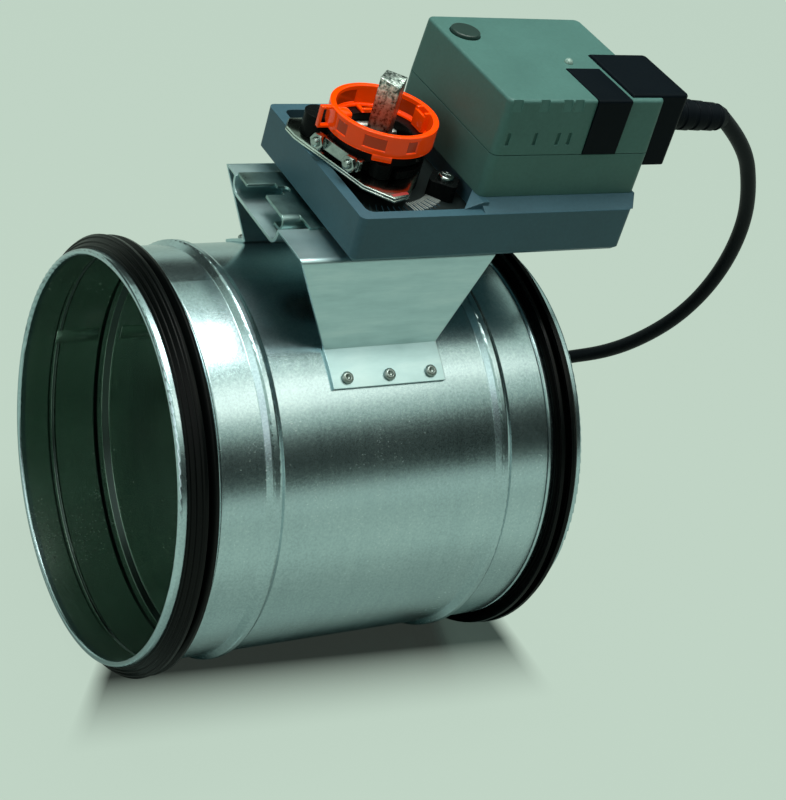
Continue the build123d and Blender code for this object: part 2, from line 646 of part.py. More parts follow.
def recess_webs():
    """Three-cornered webs across the recess's right corners, sloping up to the housing."""
    left = RECESS_RIGHT - WEB_RUN
    deep = RECESS_HALF_WIDTH + 0.5
    right = RECESS_RIGHT + 0.5
    plan = make_face(Polyline((left, -deep), (right, -deep), (right, -RECESS_HALF_WIDTH + WEB_SPAN), close=True))
    prism = extrude(Pos(0, 0, RECESS_FLOOR - 0.5) * plan, SHOULDER_TOP - RECESS_FLOOR + 0.5)
    slope = Polyline((left, BASE_RIM), (HOUSING_LEFT, SHOULDER_TOP), (left, SHOULDER_TOP + 1), close=True)
    prism -= extrude(Plane.XZ * make_face(slope), amount=deep + 1)
    return prism + mirror(prism, Plane.XZ)


def scale_ticks():
    """Raised degree marks on the recess floor round the hub."""
    ticks = []
    count = int(SCALE_SPREAD / SCALE_STEP)
    for k in range(-count, count + 1):
        angle = -90 + k * SCALE_STEP
        tick = box(SCALE_INNER, SCALE_OUTER, -SCALE_TICK / 2, SCALE_TICK / 2,
                   RECESS_FLOOR - 0.2, RECESS_FLOOR + SCALE_HEIGHT)
        ticks.append(Rot(0, 0, angle) * tick)
    return ticks


def make_housing_lower():
    """Lower shell of the actuator housing, seated on the base's shoulders."""
    foot = SHOULDER_TOP + 0.02
    body = slab(HOUSING_LEFT, HOUSING_RIGHT, HOUSING_HALF_WIDTH, foot, HOUSING_SEAM, HOUSING_CORNER)
    left = HOUSING_LEFT + HOUSING_WALL + 2.0
    right = HOUSING_RIGHT - HOUSING_WALL
    hollow = slab(left, right, HOUSING_HALF_WIDTH - HOUSING_WALL, foot - 1, HOUSING_SEAM + 1, HOUSING_CORNER - 1)
    body -= hollow
    for x in (HOUSING_LEFT + 7.6, HOUSING_RIGHT - 5.6):
        for side in (-1, 1):
            y = side * (HOUSING_HALF_WIDTH - 5.4)
            body += tube(3.4, 1.2, SHOULDER_TOP + 0.02, HOUSING_SEAM - BOARD_THICKNESS - 0.1, x, y)
    return body


def make_housing_cover():
    """Upper shell with drafted sides, release-button guide, notches and a pocket for the black covers."""
    low = Rectangle(HOUSING_RIGHT - HOUSING_LEFT, 2 * HOUSING_HALF_WIDTH)
    high = Rectangle(HOUSING_RIGHT - HOUSING_LEFT - HOUSING_DRAFT, 2 * HOUSING_HALF_WIDTH - HOUSING_DRAFT)
    middle = (HOUSING_LEFT + HOUSING_RIGHT) / 2
    body = loft([Pos(middle, 0, HOUSING_SEAM + SEAM_GAP) * low, Pos(middle + 0.3, 0, HOUSING_TOP) * high])
    body = fillet(body.edges().filter_by(lambda e: abs(e.center().Z - (HOUSING_SEAM + HOUSING_TOP) / 2) < 3),
                  HOUSING_CORNER)
    body = fillet(body.faces().sort_by(Axis.Z)[-1].edges(), 1.2)
    hollow = box(HOUSING_LEFT + HOUSING_WALL + 0.6, HOUSING_RIGHT - HOUSING_WALL - 0.6,
                 -HOUSING_HALF_WIDTH + HOUSING_WALL + 0.6, HOUSING_HALF_WIDTH - HOUSING_WALL - 0.6,
                 HOUSING_SEAM - 1, HOUSING_TOP - HOUSING_WALL)
    body -= hollow
    guide = BUTTON_RADIUS + BUTTON_GAP
    body += tube(guide + 1.9, guide, HOUSING_TOP - 9, HOUSING_TOP - 0.5, BUTTON_X, BUTTON_Y)
    body -= rod(BUTTON_RADIUS + BUTTON_GAP, HOUSING_TOP - 10, HOUSING_TOP + 1, BUTTON_X, BUTTON_Y)
    body -= rod(LENS_RADIUS + 0.02, HOUSING_TOP - 5, HOUSING_TOP + 1, LENS_X, LENS_Y)
    body -= cover_notches()
    body -= cap_pocket(0.1)
    body -= side_cover_block(0.1)
    return body


def cover_notches():
    """Wedge notches along both upper edges and the slots below the near ones."""
    cuts = []
    for x in NOTCH_POSITIONS:
        for side in (-1, 1):
            edge = side * HOUSING_HALF_WIDTH
            wedge = Pos(x, edge, HOUSING_TOP) * Rot(side * 12, 0, 0)
            half = NOTCH_WIDTH / 2
            cuts.append(wedge * box(-half, half, -NOTCH_DEPTH, NOTCH_DEPTH, -NOTCH_HEIGHT, 3))
        slot = Pos(x, -HOUSING_HALF_WIDTH, HOUSING_TOP - SLOT_DROP)
        half = SLOT_WIDTH / 2
        cuts.append(slot * box(-half, half, -2, SLOT_DEPTH, -SLOT_HEIGHT / 2, SLOT_HEIGHT / 2))
    return cuts


def cap_pocket(gap):
    """Space of the plug cap, used for the cap itself and for the pocket in the cover."""
    low, high = CAP_BOTTOM - gap, CAP_TOP + gap
    return box(CAP_LEFT - gap, CAP_RIGHT + gap, CAP_FRONT - gap, CAP_BACK + gap, low, high)


def make_plug_cap():
    """Black cap over the plug, wrapped round the upper corner of the right end."""
    cap = cap_pocket(0)
    cap = fillet(cap.edges().filter_by(Axis.Z).sort_by(Axis.X)[-2:], CAP_CORNER)
    cap = fillet(cap.faces().sort_by(Axis.Z)[-1].edges(), 1.2)
    seam = HOUSING_SEAM + SEAM_GAP
    inside = box(CAP_LEFT - 1, HOUSING_RIGHT + 0.1, CAP_FRONT - 1, CAP_BACK + 1, CAP_BOTTOM - 1, seam)
    return cap - inside


def side_cover_block(gap):
    """Space of the side cover: a plate on the roof that turns down the near side."""
    roof = box(COVER_LEFT - gap, COVER_RIGHT + gap, -HOUSING_HALF_WIDTH - 1, COVER_BACK + gap,
               HOUSING_TOP - COVER_THICKNESS - gap, HOUSING_TOP + 5)
    side = box(COVER_LEFT - gap, COVER_RIGHT + gap, -HOUSING_HALF_WIDTH - 1,
               -HOUSING_HALF_WIDTH + HOUSING_DRAFT / 2 + COVER_THICKNESS + gap, HOUSING_SEAM, HOUSING_TOP + 5)
    return roof + side


def make_side_cover():
    """Black cover that wraps from the roof down the near side."""
    top = HOUSING_TOP + 0.3
    foot = HOUSING_SEAM + SEAM_GAP + 0.02
    roof = box(COVER_LEFT, COVER_RIGHT, -HOUSING_HALF_WIDTH, COVER_BACK, HOUSING_TOP - COVER_THICKNESS, top)
    inner = -HOUSING_HALF_WIDTH + HOUSING_DRAFT / 2 + COVER_THICKNESS
    side = box(COVER_LEFT, COVER_RIGHT, -HOUSING_HALF_WIDTH - 0.3, inner, foot, top)
    cover = roof + side
    corner = cover.edges().filter_by(Axis.X).sort_by(lambda e: e.center().Z - e.center().Y)[-1]
    return fillet(corner, 1.0)


def make_button():
    """Round release button with its stem."""
    top = HOUSING_TOP + BUTTON_PROUD
    foot = HOUSING_SEAM + SWITCH_HEIGHT + SWITCH_GAP + BUTTON_TRAVEL
    cap = rod(BUTTON_RADIUS, top - BUTTON_CAP, top, BUTTON_X, BUTTON_Y)
    cap = fillet(cap.edges().group_by(Axis.Z)[-1], 0.6)
    return cap + rod(BUTTON_STEM_RADIUS, foot, top - BUTTON_CAP + 0.5, BUTTON_X, BUTTON_Y)


def make_lens():
    """Clear light pipe with a domed end."""
    board = HOUSING_SEAM + 0.02
    pipe = rod(LENS_RADIUS, board, HOUSING_TOP, LENS_X, LENS_Y)
    return pipe + Pos(LENS_X, LENS_Y, HOUSING_TOP) * Sphere(LENS_RADIUS)


def make_board():
    """Circuit board on the posts of the lower shell, with the switch under the button and larger parts."""
    top = HOUSING_SEAM
    low = top - BOARD_THICKNESS
    board = slab(HOUSING_LEFT + HOUSING_WALL + 2.3, HOUSING_RIGHT - HOUSING_WALL - 0.3,
                 HOUSING_HALF_WIDTH - HOUSING_WALL - 0.3, low, top, 1.5)
    board += box(BUTTON_X - 4, BUTTON_X + 4, BUTTON_Y - 4, BUTTON_Y + 4, top, top + SWITCH_HEIGHT)
    for step, side, radius, height in ((12.4, 1, 4, 9), (22.4, 1, 4, 9), (12.4, -1, 3, 7)):
        board += rod(radius, top, top + height, BUTTON_X + step, side * BUTTON_Y)
    connector = HOUSING_RIGHT - HOUSING_WALL - 1.8
    return board + box(connector - 10, connector, CAP_BACK + 4, CAP_BACK + 22, top, top + 8)


def make_boot():
    """Tapered rubber boot with ribs on the cable's exit."""
    radius_step = (BOOT_ROOT_RADIUS - BOOT_TIP_RADIUS) / BOOT_RIBS
    pitch = (BOOT_LENGTH - BOOT_TIP) / BOOT_RIBS
    outline = [(0, 0), (BOOT_ROOT_RADIUS, 0)]
    for k in range(BOOT_RIBS):
        radius = BOOT_ROOT_RADIUS - k * radius_step
        waist = radius - 0.8
        outline += [(radius, (k + 0.62) * pitch), (waist, (k + 0.68) * pitch), (waist, (k + 0.94) * pitch)]
        outline += [(radius - radius_step, (k + 1) * pitch)]
    outline += [(BOOT_END_RADIUS, BOOT_LENGTH), (0, BOOT_LENGTH)]
    solid = revolve(Plane.XZ * make_face(Polyline(*outline, close=True)), Axis.Z, 360)
    boot = boot_frame() * solid
    reach = 3 * BOOT_ROOT_RADIUS
    return boot - box(CAP_LEFT, CAP_RIGHT, BOOT_Y - reach, BOOT_Y + reach, BOOT_Z - reach, BOOT_Z + reach)


def boot_frame():
    """Place of the boot on the plug cap, with local Z along the cable."""
    return Pos(CAP_RIGHT, BOOT_Y, BOOT_Z) * Rot(0, 90 + BOOT_DROOP, 0)


# Route of the cable from the boot's end to the coil, as points about the shaft's axis
FLOOR_Z = -LIP_RADIUS
CABLE_POINTS = (
    (CAP_RIGHT + BOOT_LENGTH, BOOT_Y, BOOT_Z - BOOT_SAG),
    (165.9, -10.6, 139.6),
    (184.3, -4.3, 115.0),
    (196.2, 1.8, 92.4),
    (203.3, 9.8, 65.5),
    (205.0, 19.6, 39.3),
    (203.1, 32.4, 15.4),
    (197.7, 50.4, -8.9),
    (189.0, 72.0, -28.0),
    (177.0, 93.0, -47.0),
    (160.0, 110.0, -66.0),
    (134.0, 121.5, FLOOR_Z + 3.6),
    (106.0, 127.0, FLOOR_Z + 3.3),
    (78.0, 127.2, FLOOR_Z + 3.7),
)
COIL_X = 62.0
COIL_Y = 92.0
COIL_RADIUS = 35.0
COIL_SECTION = 6.4
TIE_WIDTH = 3.6
TIE_THICKNESS = 1.0
TIE_GAP = 0.12
WIRE_RADIUS = 0.9
WIRE_LENGTH = 24.0


def cable_radii(points):
    """Bend radius at each inner point: 0.45 of the shorter run over the tangent of half the turn."""
    radii = []
    vectors = [Vector(*b) - Vector(*a) for a, b in zip(points, points[1:])]
    for before, after in zip(vectors, vectors[1:]):
        turn = math.radians(before.get_angle(after))
        radii.append(0.45 * min(before.length, after.length) / math.tan(turn / 2))
    return radii


def make_cable():
    """Cable from the boot down to the coil, as straight runs joined by arcs."""
    radii = cable_radii(CABLE_POINTS)
    path = FilletPolyline(*CABLE_POINTS, radius=radii)
    start = Vector(*CABLE_POINTS[1]) - Vector(*CABLE_POINTS[0])
    section = Plane(origin=CABLE_POINTS[0], z_dir=start) * Circle(CABLE_RADIUS)
    cable = sweep(section, path=path)
    expected = math.pi * CABLE_RADIUS**2 * path.length
    cable -= boot_frame() * Pos(0, 0, BOOT_LENGTH / 2) * Box(30, 30, BOOT_LENGTH)
    cable -= coil_ring(COIL_SECTION + 0.02)
    print("cable radii", [round(r, 1) for r in radii])
    print("cable length", round(path.length, 1), "volume ratio", round(cable.volume / expected, 4))
    return cable


def make_coil():
    """Outer shape of the coiled rest of the cable."""
    return coil_ring(COIL_SECTION)


def coil_ring(section):
    """Ring in the coil's place with the given section radius."""
    return Pos(COIL_X, COIL_Y, coil_height()) * Torus(COIL_RADIUS, section)


def coil_height():
    """Height of the coil's middle, resting on its tie."""
    return FLOOR_Z + COIL_SECTION + TIE_GAP + TIE_THICKNESS


def make_tie():
    """Tie round the coil."""
    hole = COIL_SECTION + TIE_GAP
    band = Cylinder(hole + TIE_THICKNESS, TIE_WIDTH) - Cylinder(hole, TIE_WIDTH + 2)
    return Pos(COIL_X, COIL_Y + COIL_RADIUS, coil_height()) * Rot(0, 90, 0) * band


def make_wire_ends():
    """Three free wires with crimped ferrules at the cable's end."""
    wires = []
    for k in (-1, 0, 1):
        place = Pos(COIL_X - COIL_RADIUS - COIL_SECTION - 0.2, COIL_Y + k * 3.0, coil_height())
        wire = Cylinder(WIRE_RADIUS, WIRE_LENGTH) + Pos(0, 0, WIRE_LENGTH / 2) * Cylinder(WIRE_RADIUS + 0.4, 8)
        wires.append(place * Rot(0, -90, 0) * Pos(0, 0, WIRE_LENGTH / 2) * wire)
    return Compound(children=wires)


def make_hub():
    """Output hub: bearing sleeve, disc, neck for the pointer plate and the open clamp body with its lobes."""
    hub = rod(HUB_RADIUS, BASE_BOTTOM, OUTPUT_GEAR_BOTTOM + OUTPUT_GEAR_THICKNESS)
    hub += rod(HUB_UPPER_RADIUS, OUTPUT_GEAR_BOTTOM, HUB_DISC_BOTTOM + 0.5)
    hub += rod(HUB_DISC_RADIUS, HUB_DISC_BOTTOM, HUB_DISC_TOP)
    hub += rod(HUB_NECK_RADIUS, HUB_DISC_TOP - 0.1, HUB_BODY_BOTTOM + 0.1)
    waist_top = HUB_BODY_BOTTOM + HUB_WAIST_HEIGHT
    hub += rod(HUB_WAIST_RADIUS, HUB_BODY_BOTTOM, waist_top + 0.1)
    hub += rod(HUB_DISC_RADIUS, waist_top, HUB_BODY_TOP)
    step = rod(HUB_DISC_RADIUS, HUB_BODY_BOTTOM, HUB_BODY_BOTTOM + HUB_STEP_HEIGHT)
    reach = 2 * HUB_DISC_RADIUS
    hub += step & box(0, reach, -reach, reach, PLATE_TOP, HUB_BODY_TOP)
    hub += rod(LOBE_RADIUS, HUB_BODY_BOTTOM, HUB_BODY_TOP - 0.6, LOBE_X, LOBE_Y)
    hub += rod(FRONT_LOBE_RADIUS, HUB_BODY_BOTTOM, waist_top + 0.1, FRONT_LOBE_X, FRONT_LOBE_Y)
    hub -= rod(HUB_CAVITY_RADIUS, HUB_CAVITY_FLOOR, HUB_BODY_TOP + 1)
    hub -= rod(HUB_BORE, BASE_BOTTOM - 1, HUB_CAVITY_FLOOR + 1)
    for side in (-1, 1):
        hub -= u_bolt_leg(side, U_BOLT_RADIUS + 0.1)
    return hub


def u_bolt_leg(side, radius):
    """One straight leg of the U-bolt, pointing out to the left of the hub."""
    leg = Rot(0, 90, 0) * Cylinder(radius, U_BOLT_LEG)
    return Rot(0, 0, CLAMP_TURN) * Pos(-U_BOLT_LEG / 2, side * U_BOLT_HALF_SPAN, U_BOLT_HEIGHT) * leg


def make_jaws():
    """Two V-shaped jaws that grip the square shaft inside the hub, the right one within the U-bolt's bow."""
    z0 = HUB_CAVITY_FLOOR + 0.05
    z1 = z0 + JAW_THICKNESS
    within = U_BOLT_HALF_SPAN - U_BOLT_RADIUS - 0.1
    left = rod(HUB_CAVITY_RADIUS - 0.3, z0, z1) & box(-HUB_DISC_RADIUS, -1.4, -within, within, z0, z1)
    right = rod(within, z0, z1) & box(1.4, HUB_DISC_RADIUS, -HUB_DISC_RADIUS, HUB_DISC_RADIUS, z0, z1)
    hole = square_bar(SHAFT_SIDE + 0.04, z0 - 1, z1 + 1)
    turned = Rot(0, 0, CLAMP_TURN)
    return Compound(children=[turned * left - hole, turned * right - hole])


def make_u_bolt():
    """U-bolt that draws the jaws together; its legs leave the hub on the left."""
    reach = U_BOLT_HALF_SPAN + 2 * U_BOLT_RADIUS
    bow = Torus(U_BOLT_HALF_SPAN, U_BOLT_RADIUS) & box(0, reach, -reach, reach, -reach, reach)
    bolt = Rot(0, 0, CLAMP_TURN) * Pos(0, 0, U_BOLT_HEIGHT) * bow
    for side in (-1, 1):
        bolt += u_bolt_leg(side, U_BOLT_RADIUS)
    return bolt


def make_yoke():
    """Flat bar across the U-bolt's legs that bears on the left jaw's side of the hub."""
    half = U_BOLT_HALF_SPAN + NUT_RADIUS
    bar = box(-YOKE_AT - YOKE_THICKNESS, -YOKE_AT, -half, half, U_BOLT_HEIGHT - 2.4, U_BOLT_HEIGHT + 2.0)
    bar = fillet(bar.edges().filter_by(Axis.X), 0.9)
    yoke = Rot(0, 0, CLAMP_TURN) * bar
    for side in (-1, 1):
        yoke -= u_bolt_leg(side, U_BOLT_RADIUS + 0.02)
    return yoke


def make_nuts():
    """Hexagon nuts on the U-bolt's legs, against the yoke."""
    nuts = []
    for side in (-1, 1):
        nut = extrude(RegularPolygon(NUT_RADIUS, 6), NUT_THICKNESS)
        nut -= Cylinder(U_BOLT_RADIUS + 0.02, 4 * NUT_THICKNESS)
        at = -YOKE_AT - YOKE_THICKNESS - NUT_THICKNESS - 0.02
        place = Rot(0, 0, CLAMP_TURN) * Pos(at, side * U_BOLT_HALF_SPAN, U_BOLT_HEIGHT) * Rot(0, 90, 0)
        nuts.append(place * nut)
    return Compound(children=nuts)


def make_pointer_plate():
    """Steel plate round the hub's neck, with a long straight edge and a pointer tip."""
    corners = [(PLATE_REACH * x, PLATE_REACH * y) for x, y in PLATE_CORNERS]
    outline = make_face(Polyline(*corners, close=True))
    plate = extrude(Pos(0, 0, PLATE_BOTTOM) * outline, PLATE_TOP - PLATE_BOTTOM)
    return plate - rod(HUB_NECK_RADIUS + 0.02, PLATE_BOTTOM - 1, PLATE_TOP + 1)


def make_position_ring():
    """Clear orange ring on the hub with a framed tab, an inner clip and a small foot."""
    inner = RING_RADIUS - RING_WALL
    ring = tube(RING_RADIUS, inner, RING_BOTTOM, RING_TOP)
    ring = fillet(ring.edges().group_by(Axis.Z)[-1], 0.5)
    tab_top = RING_BOTTOM + RING_TAB_HEIGHT
    back = RING_TAB_FRONT + RING_TAB_WIDTH
    tab = box(-RING_TAB_REACH, -inner - 0.4, RING_TAB_FRONT, back, RING_BOTTOM, tab_top)
    window = box(-RING_TAB_REACH + 1.6, -RING_RADIUS - 0.2, RING_TAB_FRONT - 1, back + 1,
                 RING_BOTTOM + 1.6, tab_top - 1.5)
    clip = Rot(0, 0, 2) * box(inner - 1.8, RING_RADIUS - 1, -2.6, 2.6, RING_BOTTOM, RING_TOP)
    foot = tube(RING_RADIUS, HUB_DISC_RADIUS + 0.15, RING_BOTTOM - 2.0, RING_BOTTOM + 0.5)
    foot &= Rot(0, 0, -114) * box(0, 2 * RING_RADIUS, -3.6, 3.6, RING_BOTTOM - 3, RING_TOP)
    return ring + (tab - window) + clip + foot


def make_stop():
    """Adjustable end stop clamped on the recess floor."""
    block = box(STOP_RADIUS - 5.5, STOP_RADIUS + 5.0, -4.6, 4.6, RECESS_FLOOR + 0.02, BASE_RIM + STOP_RISE)
    block = chamfer(block.edges().filter_by(Axis.Z), 1.2)
    return Rot(0, 0, STOP_ANGLE) * (block - rod(1.65, RECESS_FLOOR - 1, BASE_RIM + 5, STOP_RADIUS))


def make_stop_screw():
    """Cross-head screw of the end stop."""
    top = BASE_RIM + STOP_RISE + 0.02
    head = fillet(rod(3.0, top, top + 1.9).edges().group_by(Axis.Z)[-1], 0.8)
    drive = Pos(0, 0, top + 1.7) * (Box(3.2, 0.7, 1.0) + Box(0.7, 3.2, 1.0))
    screw = head - drive + rod(1.6, RECESS_FLOOR + 0.1, top + 0.1)
    return Rot(0, 0, STOP_ANGLE) * Pos(STOP_RADIUS, 0, 0) * screw


def involute_gear(teeth, thickness, bore):
    """Spur gear whose flanks follow the involute, thinned for backlash."""
    pitch = MODULE * teeth / 2
    base = pitch * math.cos(math.radians(PRESSURE_ANGLE))
    tip = pitch + MODULE * 0.95
    root = pitch - MODULE * 1.25
    start = max(base, root)
    pressure = math.radians(PRESSURE_ANGLE)
    half_tooth = math.pi / (2 * teeth) - BACKLASH / (2 * pitch) + math.tan(pressure) - pressure

    def flank(radius):
        roll = math.acos(min(1.0, base / radius))
        return half_tooth - (math.tan(roll) - roll)

    radii = [start, (start + pitch) / 2, pitch, (pitch + tip) / 2, tip]
    points = []
    for k in range(teeth):
        middle = 2 * math.pi * k / teeth
        points.append((root, middle - half_tooth))
        points += [(r, middle - flank(r)) for r in radii]
        points += [(r, middle + flank(r)) for r in reversed(radii)]
        points.append((root, middle + half_tooth))
    outline = Polyline(*[(r * math.cos(a), r * math.sin(a)) for r, a in points], close=True)
    return extrude(make_face(outline), thickness) - Cylinder(bore, 4 * thickness)


def gear_layout():
    """Stations of the gear axes along the duct and the heights of the two wheels."""
    first = MODULE * (OUTPUT_TEETH + PINION_TEETH) / 2 + CENTRE_GAP
    second = first + MODULE * (WHEEL_TEETH + PINION_TEETH) / 2 + CENTRE_GAP
    third = second + MODULE * (WHEEL_TEETH + PINION_TEETH) / 2 + CENTRE_GAP
    level_one = OUTPUT_GEAR_BOTTOM + OUTPUT_GEAR_THICKNESS + GEAR_STEP
    level_two = level_one + WHEEL_THICKNESS + GEAR_STEP
    return first, second, third, level_one, level_two


def make_output_gear():
    """Gear on the hub inside the base."""
    gear = involute_gear(OUTPUT_TEETH, OUTPUT_GEAR_THICKNESS, HUB_RADIUS + 0.02)
    return Pos(0, 0, OUTPUT_GEAR_BOTTOM) * gear


def half_tooth_turn(teeth):
    """Turn that puts a tooth space opposite a tooth of the gear to the left."""
    return 180 if teeth % 2 else 180 + 180 / teeth


def make_first_gear():
    """Pinion on the output gear with its wheel above."""
    first, _, _, level_one, _ = gear_layout()
    bore = AXLE_RADIUS + RUNNING_GAP
    pinion = involute_gear(PINION_TEETH, OUTPUT_GEAR_THICKNESS + GEAR_STEP, bore)
    pinion = Rot(0, 0, half_tooth_turn(PINION_TEETH)) * pinion
    wheel = involute_gear(WHEEL_TEETH, WHEEL_THICKNESS, bore)
    return Pos(first, 0, OUTPUT_GEAR_BOTTOM) * pinion + Pos(first, 0, level_one) * wheel


def make_second_gear():
    """Second pinion and wheel."""
    _, second, _, level_one, level_two = gear_layout()
    bore = AXLE_RADIUS + RUNNING_GAP
    pinion = involute_gear(PINION_TEETH, WHEEL_THICKNESS + GEAR_STEP, bore)
    pinion = Rot(0, 0, half_tooth_turn(PINION_TEETH)) * pinion
    wheel = involute_gear(WHEEL_TEETH, WHEEL_THICKNESS, bore)
    return Pos(second, 0, level_one) * pinion + Pos(second, 0, level_two) * wheel


def make_motor_rotor():
    """Motor shaft with the first pinion."""
    _, _, third, _, level_two = gear_layout()
    pinion = involute_gear(PINION_TEETH, WHEEL_THICKNESS, MOTOR_SHAFT_RADIUS)
    pinion = Rot(0, 0, half_tooth_turn(PINION_TEETH)) * pinion
    shaft = rod(MOTOR_SHAFT_RADIUS, level_two, motor_bottom() + MOTOR_HEIGHT - 2, third)
    return Pos(third, 0, level_two) * pinion + shaft


def motor_bottom():
    """Height of the motor's lower face, on the gear plate."""
    return gear_plate_bottom() + GEAR_PLATE_THICKNESS + 0.02


def gear_plate_bottom():
    """Height of the gear plate's lower face."""
    level_two = gear_layout()[4]
    return level_two + WHEEL_THICKNESS + GEAR_STEP


def make_motor():
    """Motor can on the gear plate."""
    third = gear_layout()[2]
    low = motor_bottom()
    can = rod(MOTOR_RADIUS, low, low + MOTOR_HEIGHT, third)
    can = fillet(can.edges().group_by(Axis.Z)[-1], 1.0)
    return can - rod(MOTOR_SHAFT_RADIUS + RUNNING_GAP, low - 1, low + MOTOR_HEIGHT - 1.9, third)


def make_gear_plate():
    """Steel plate over the gears, on four legs from the base's floor."""
    _, second, third, _, _ = gear_layout()
    low = gear_plate_bottom()
    half_width = HOUSING_HALF_WIDTH - HOUSING_WALL - 0.6
    left = RECESS_RIGHT + BASE_WALL + 0.6
    right = BASE_RIGHT - BASE_WALL - 0.6
    plate = box(left, right, -half_width, half_width, low, low + GEAR_PLATE_THICKNESS)
    for x in (left + 3, right - 3):
        for side in (-1, 1):
            plate += rod(2.2, BASE_BOTTOM + BASE_WALL, low + 0.1, x, side * (half_width - 3))
    plate -= rod(MOTOR_SHAFT_RADIUS + 0.4, low - 1, low + 3, third)
    return plate - rod(AXLE_RADIUS + 0.02, low - 1, low + 3, second)


def make_axles():
    """Fixed pins of the two intermediate gears."""
    first, second, _, _, _ = gear_layout()
    floor = BASE_BOTTOM + BASE_WALL
    pins = [rod(AXLE_RADIUS, floor, RECESS_FLOOR - BASE_WALL, first)]
    pins.append(rod(AXLE_RADIUS, floor, gear_plate_bottom() + GEAR_PLATE_THICKNESS, second))
    return Compound(children=pins)


PIECES = {
    "casing": make_casing,
    "seal_inlet": lambda: make_duct_seal(False),
    "seal_outlet": lambda: make_duct_seal(True),
    "blade_disc_inlet": lambda: make_blade_disc(-1),
    "blade_disc_outlet": lambda: make_blade_disc(1),
    "blade_seal": make_blade_seal,
    "blade_rivets": make_blade_rivets,
    "damper_shaft": make_shaft,
    "bush_upper": lambda: make_bush(1),
    "bush_lower": lambda: make_bush(-1),
    "bearing_collar_upper": lambda: make_collar(1),
    "bearing_collar_lower": lambda: make_collar(-1),
    "shaft_rings": make_shaft_rings,
    "collar_retainers": make_collar_retainers,
    "bracket": make_bracket,
    "anti_rotation_strap": make_strap,
    "bracket_screws": make_bracket_screws,
    "mounting_pad": make_pad,
    "actuator_base": make_base,
    "housing_lower": make_housing_lower,
    "housing_cover": make_housing_cover,
    "plug_cap": make_plug_cap,
    "side_cover": make_side_cover,
    "release_button": make_button,
    "status_lens": make_lens,
    "circuit_board": make_board,
    "cable_boot": make_boot,
    "cable": make_cable,
    "cable_coil": make_coil,
    "cable_tie": make_tie,
    "wire_ends": make_wire_ends,
    "output_hub": make_hub,
    "clamp_jaws": make_jaws,
    "clamp_u_bolt": make_u_bolt,
    "clamp_yoke": make_yoke,
    "clamp_nuts": make_nuts,
    "pointer_plate": make_pointer_plate,
    "position_ring": make_position_ring,
    "end_stop": make_stop,
    "end_stop_screw": make_stop_screw,
    "output_gear": make_output_gear,
    "first_gear": make_first_gear,
    "second_gear": make_second_gear,
    "motor_rotor": make_motor_rotor,
    "motor": make_motor,
    "gear_plate": make_gear_plate,
    "gear_axles": make_axles,
}

os.makedirs(PARTS_FOLDER, exist_ok=True)
for name, make in PIECES.items():
    piece = Pos(SHAFT_X, 0, 0) * make()
    export_step(piece, os.path.join(PARTS_FOLDER, name + ".step"))
    print(name, "solids", len(piece.solids()), "volume", round(piece.volume, 1))
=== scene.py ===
"""Round shut-off damper with a rotary actuator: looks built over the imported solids."""
import math

import bmesh
import bpy
from mathutils import Matrix, Vector


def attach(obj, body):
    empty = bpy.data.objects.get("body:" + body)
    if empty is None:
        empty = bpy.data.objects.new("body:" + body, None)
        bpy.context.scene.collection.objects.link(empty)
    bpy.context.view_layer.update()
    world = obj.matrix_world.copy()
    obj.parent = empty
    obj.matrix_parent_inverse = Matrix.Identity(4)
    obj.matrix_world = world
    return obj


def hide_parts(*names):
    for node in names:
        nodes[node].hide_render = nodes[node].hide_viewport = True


bl_info = {
    "name": "Shut-off Damper Dresser",
    "version": (1, 0, 0),
    "blender": (4, 5, 0),
    "location": "View3D > Sidebar > Damper",
    "description": "Dresses a packed round shut-off damper and its actuator",
    "category": "Object",
}

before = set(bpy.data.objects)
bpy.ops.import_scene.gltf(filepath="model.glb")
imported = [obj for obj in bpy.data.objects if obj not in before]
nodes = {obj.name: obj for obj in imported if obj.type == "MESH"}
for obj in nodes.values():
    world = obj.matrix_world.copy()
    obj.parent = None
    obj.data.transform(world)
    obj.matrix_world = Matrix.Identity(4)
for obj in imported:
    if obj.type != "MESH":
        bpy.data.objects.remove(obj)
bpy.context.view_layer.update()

# Millimetres about the blade's shaft, unless a line says otherwise.
MM = 0.001
SHAFT_X = 86.0  # from the inlet's rim to the shaft
HEM_INSIDE = 83.0  # half of the length between the end hems
FLANK_OUTWARD = 24.0  # outward part of the radius that parts the round wall from a bead's flank
RECESS_LIMIT = 126.2  # the recess floor is the upward sheet below this height
POINTER_TIP = (-3.2, -28.2)
SHEAR_START = 153.5  # height where the shaft's pitted end begins


def at(x, y, z):
    """Point given in millimetres about the blade's shaft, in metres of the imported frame."""
    return Vector(((x + SHAFT_X) * MM, y * MM, z * MM))


def turned(turn, x, y, z):
    """Point about the blade's shaft, turned round it."""
    return turn @ (at(x, y, z) - at(0, 0, 0)) + at(0, 0, 0)


def with_alpha(value):
    """A colour with its alpha, or any other value as it is."""
    return (*value, 1.0) if isinstance(value, tuple) and len(value) == 3 else value


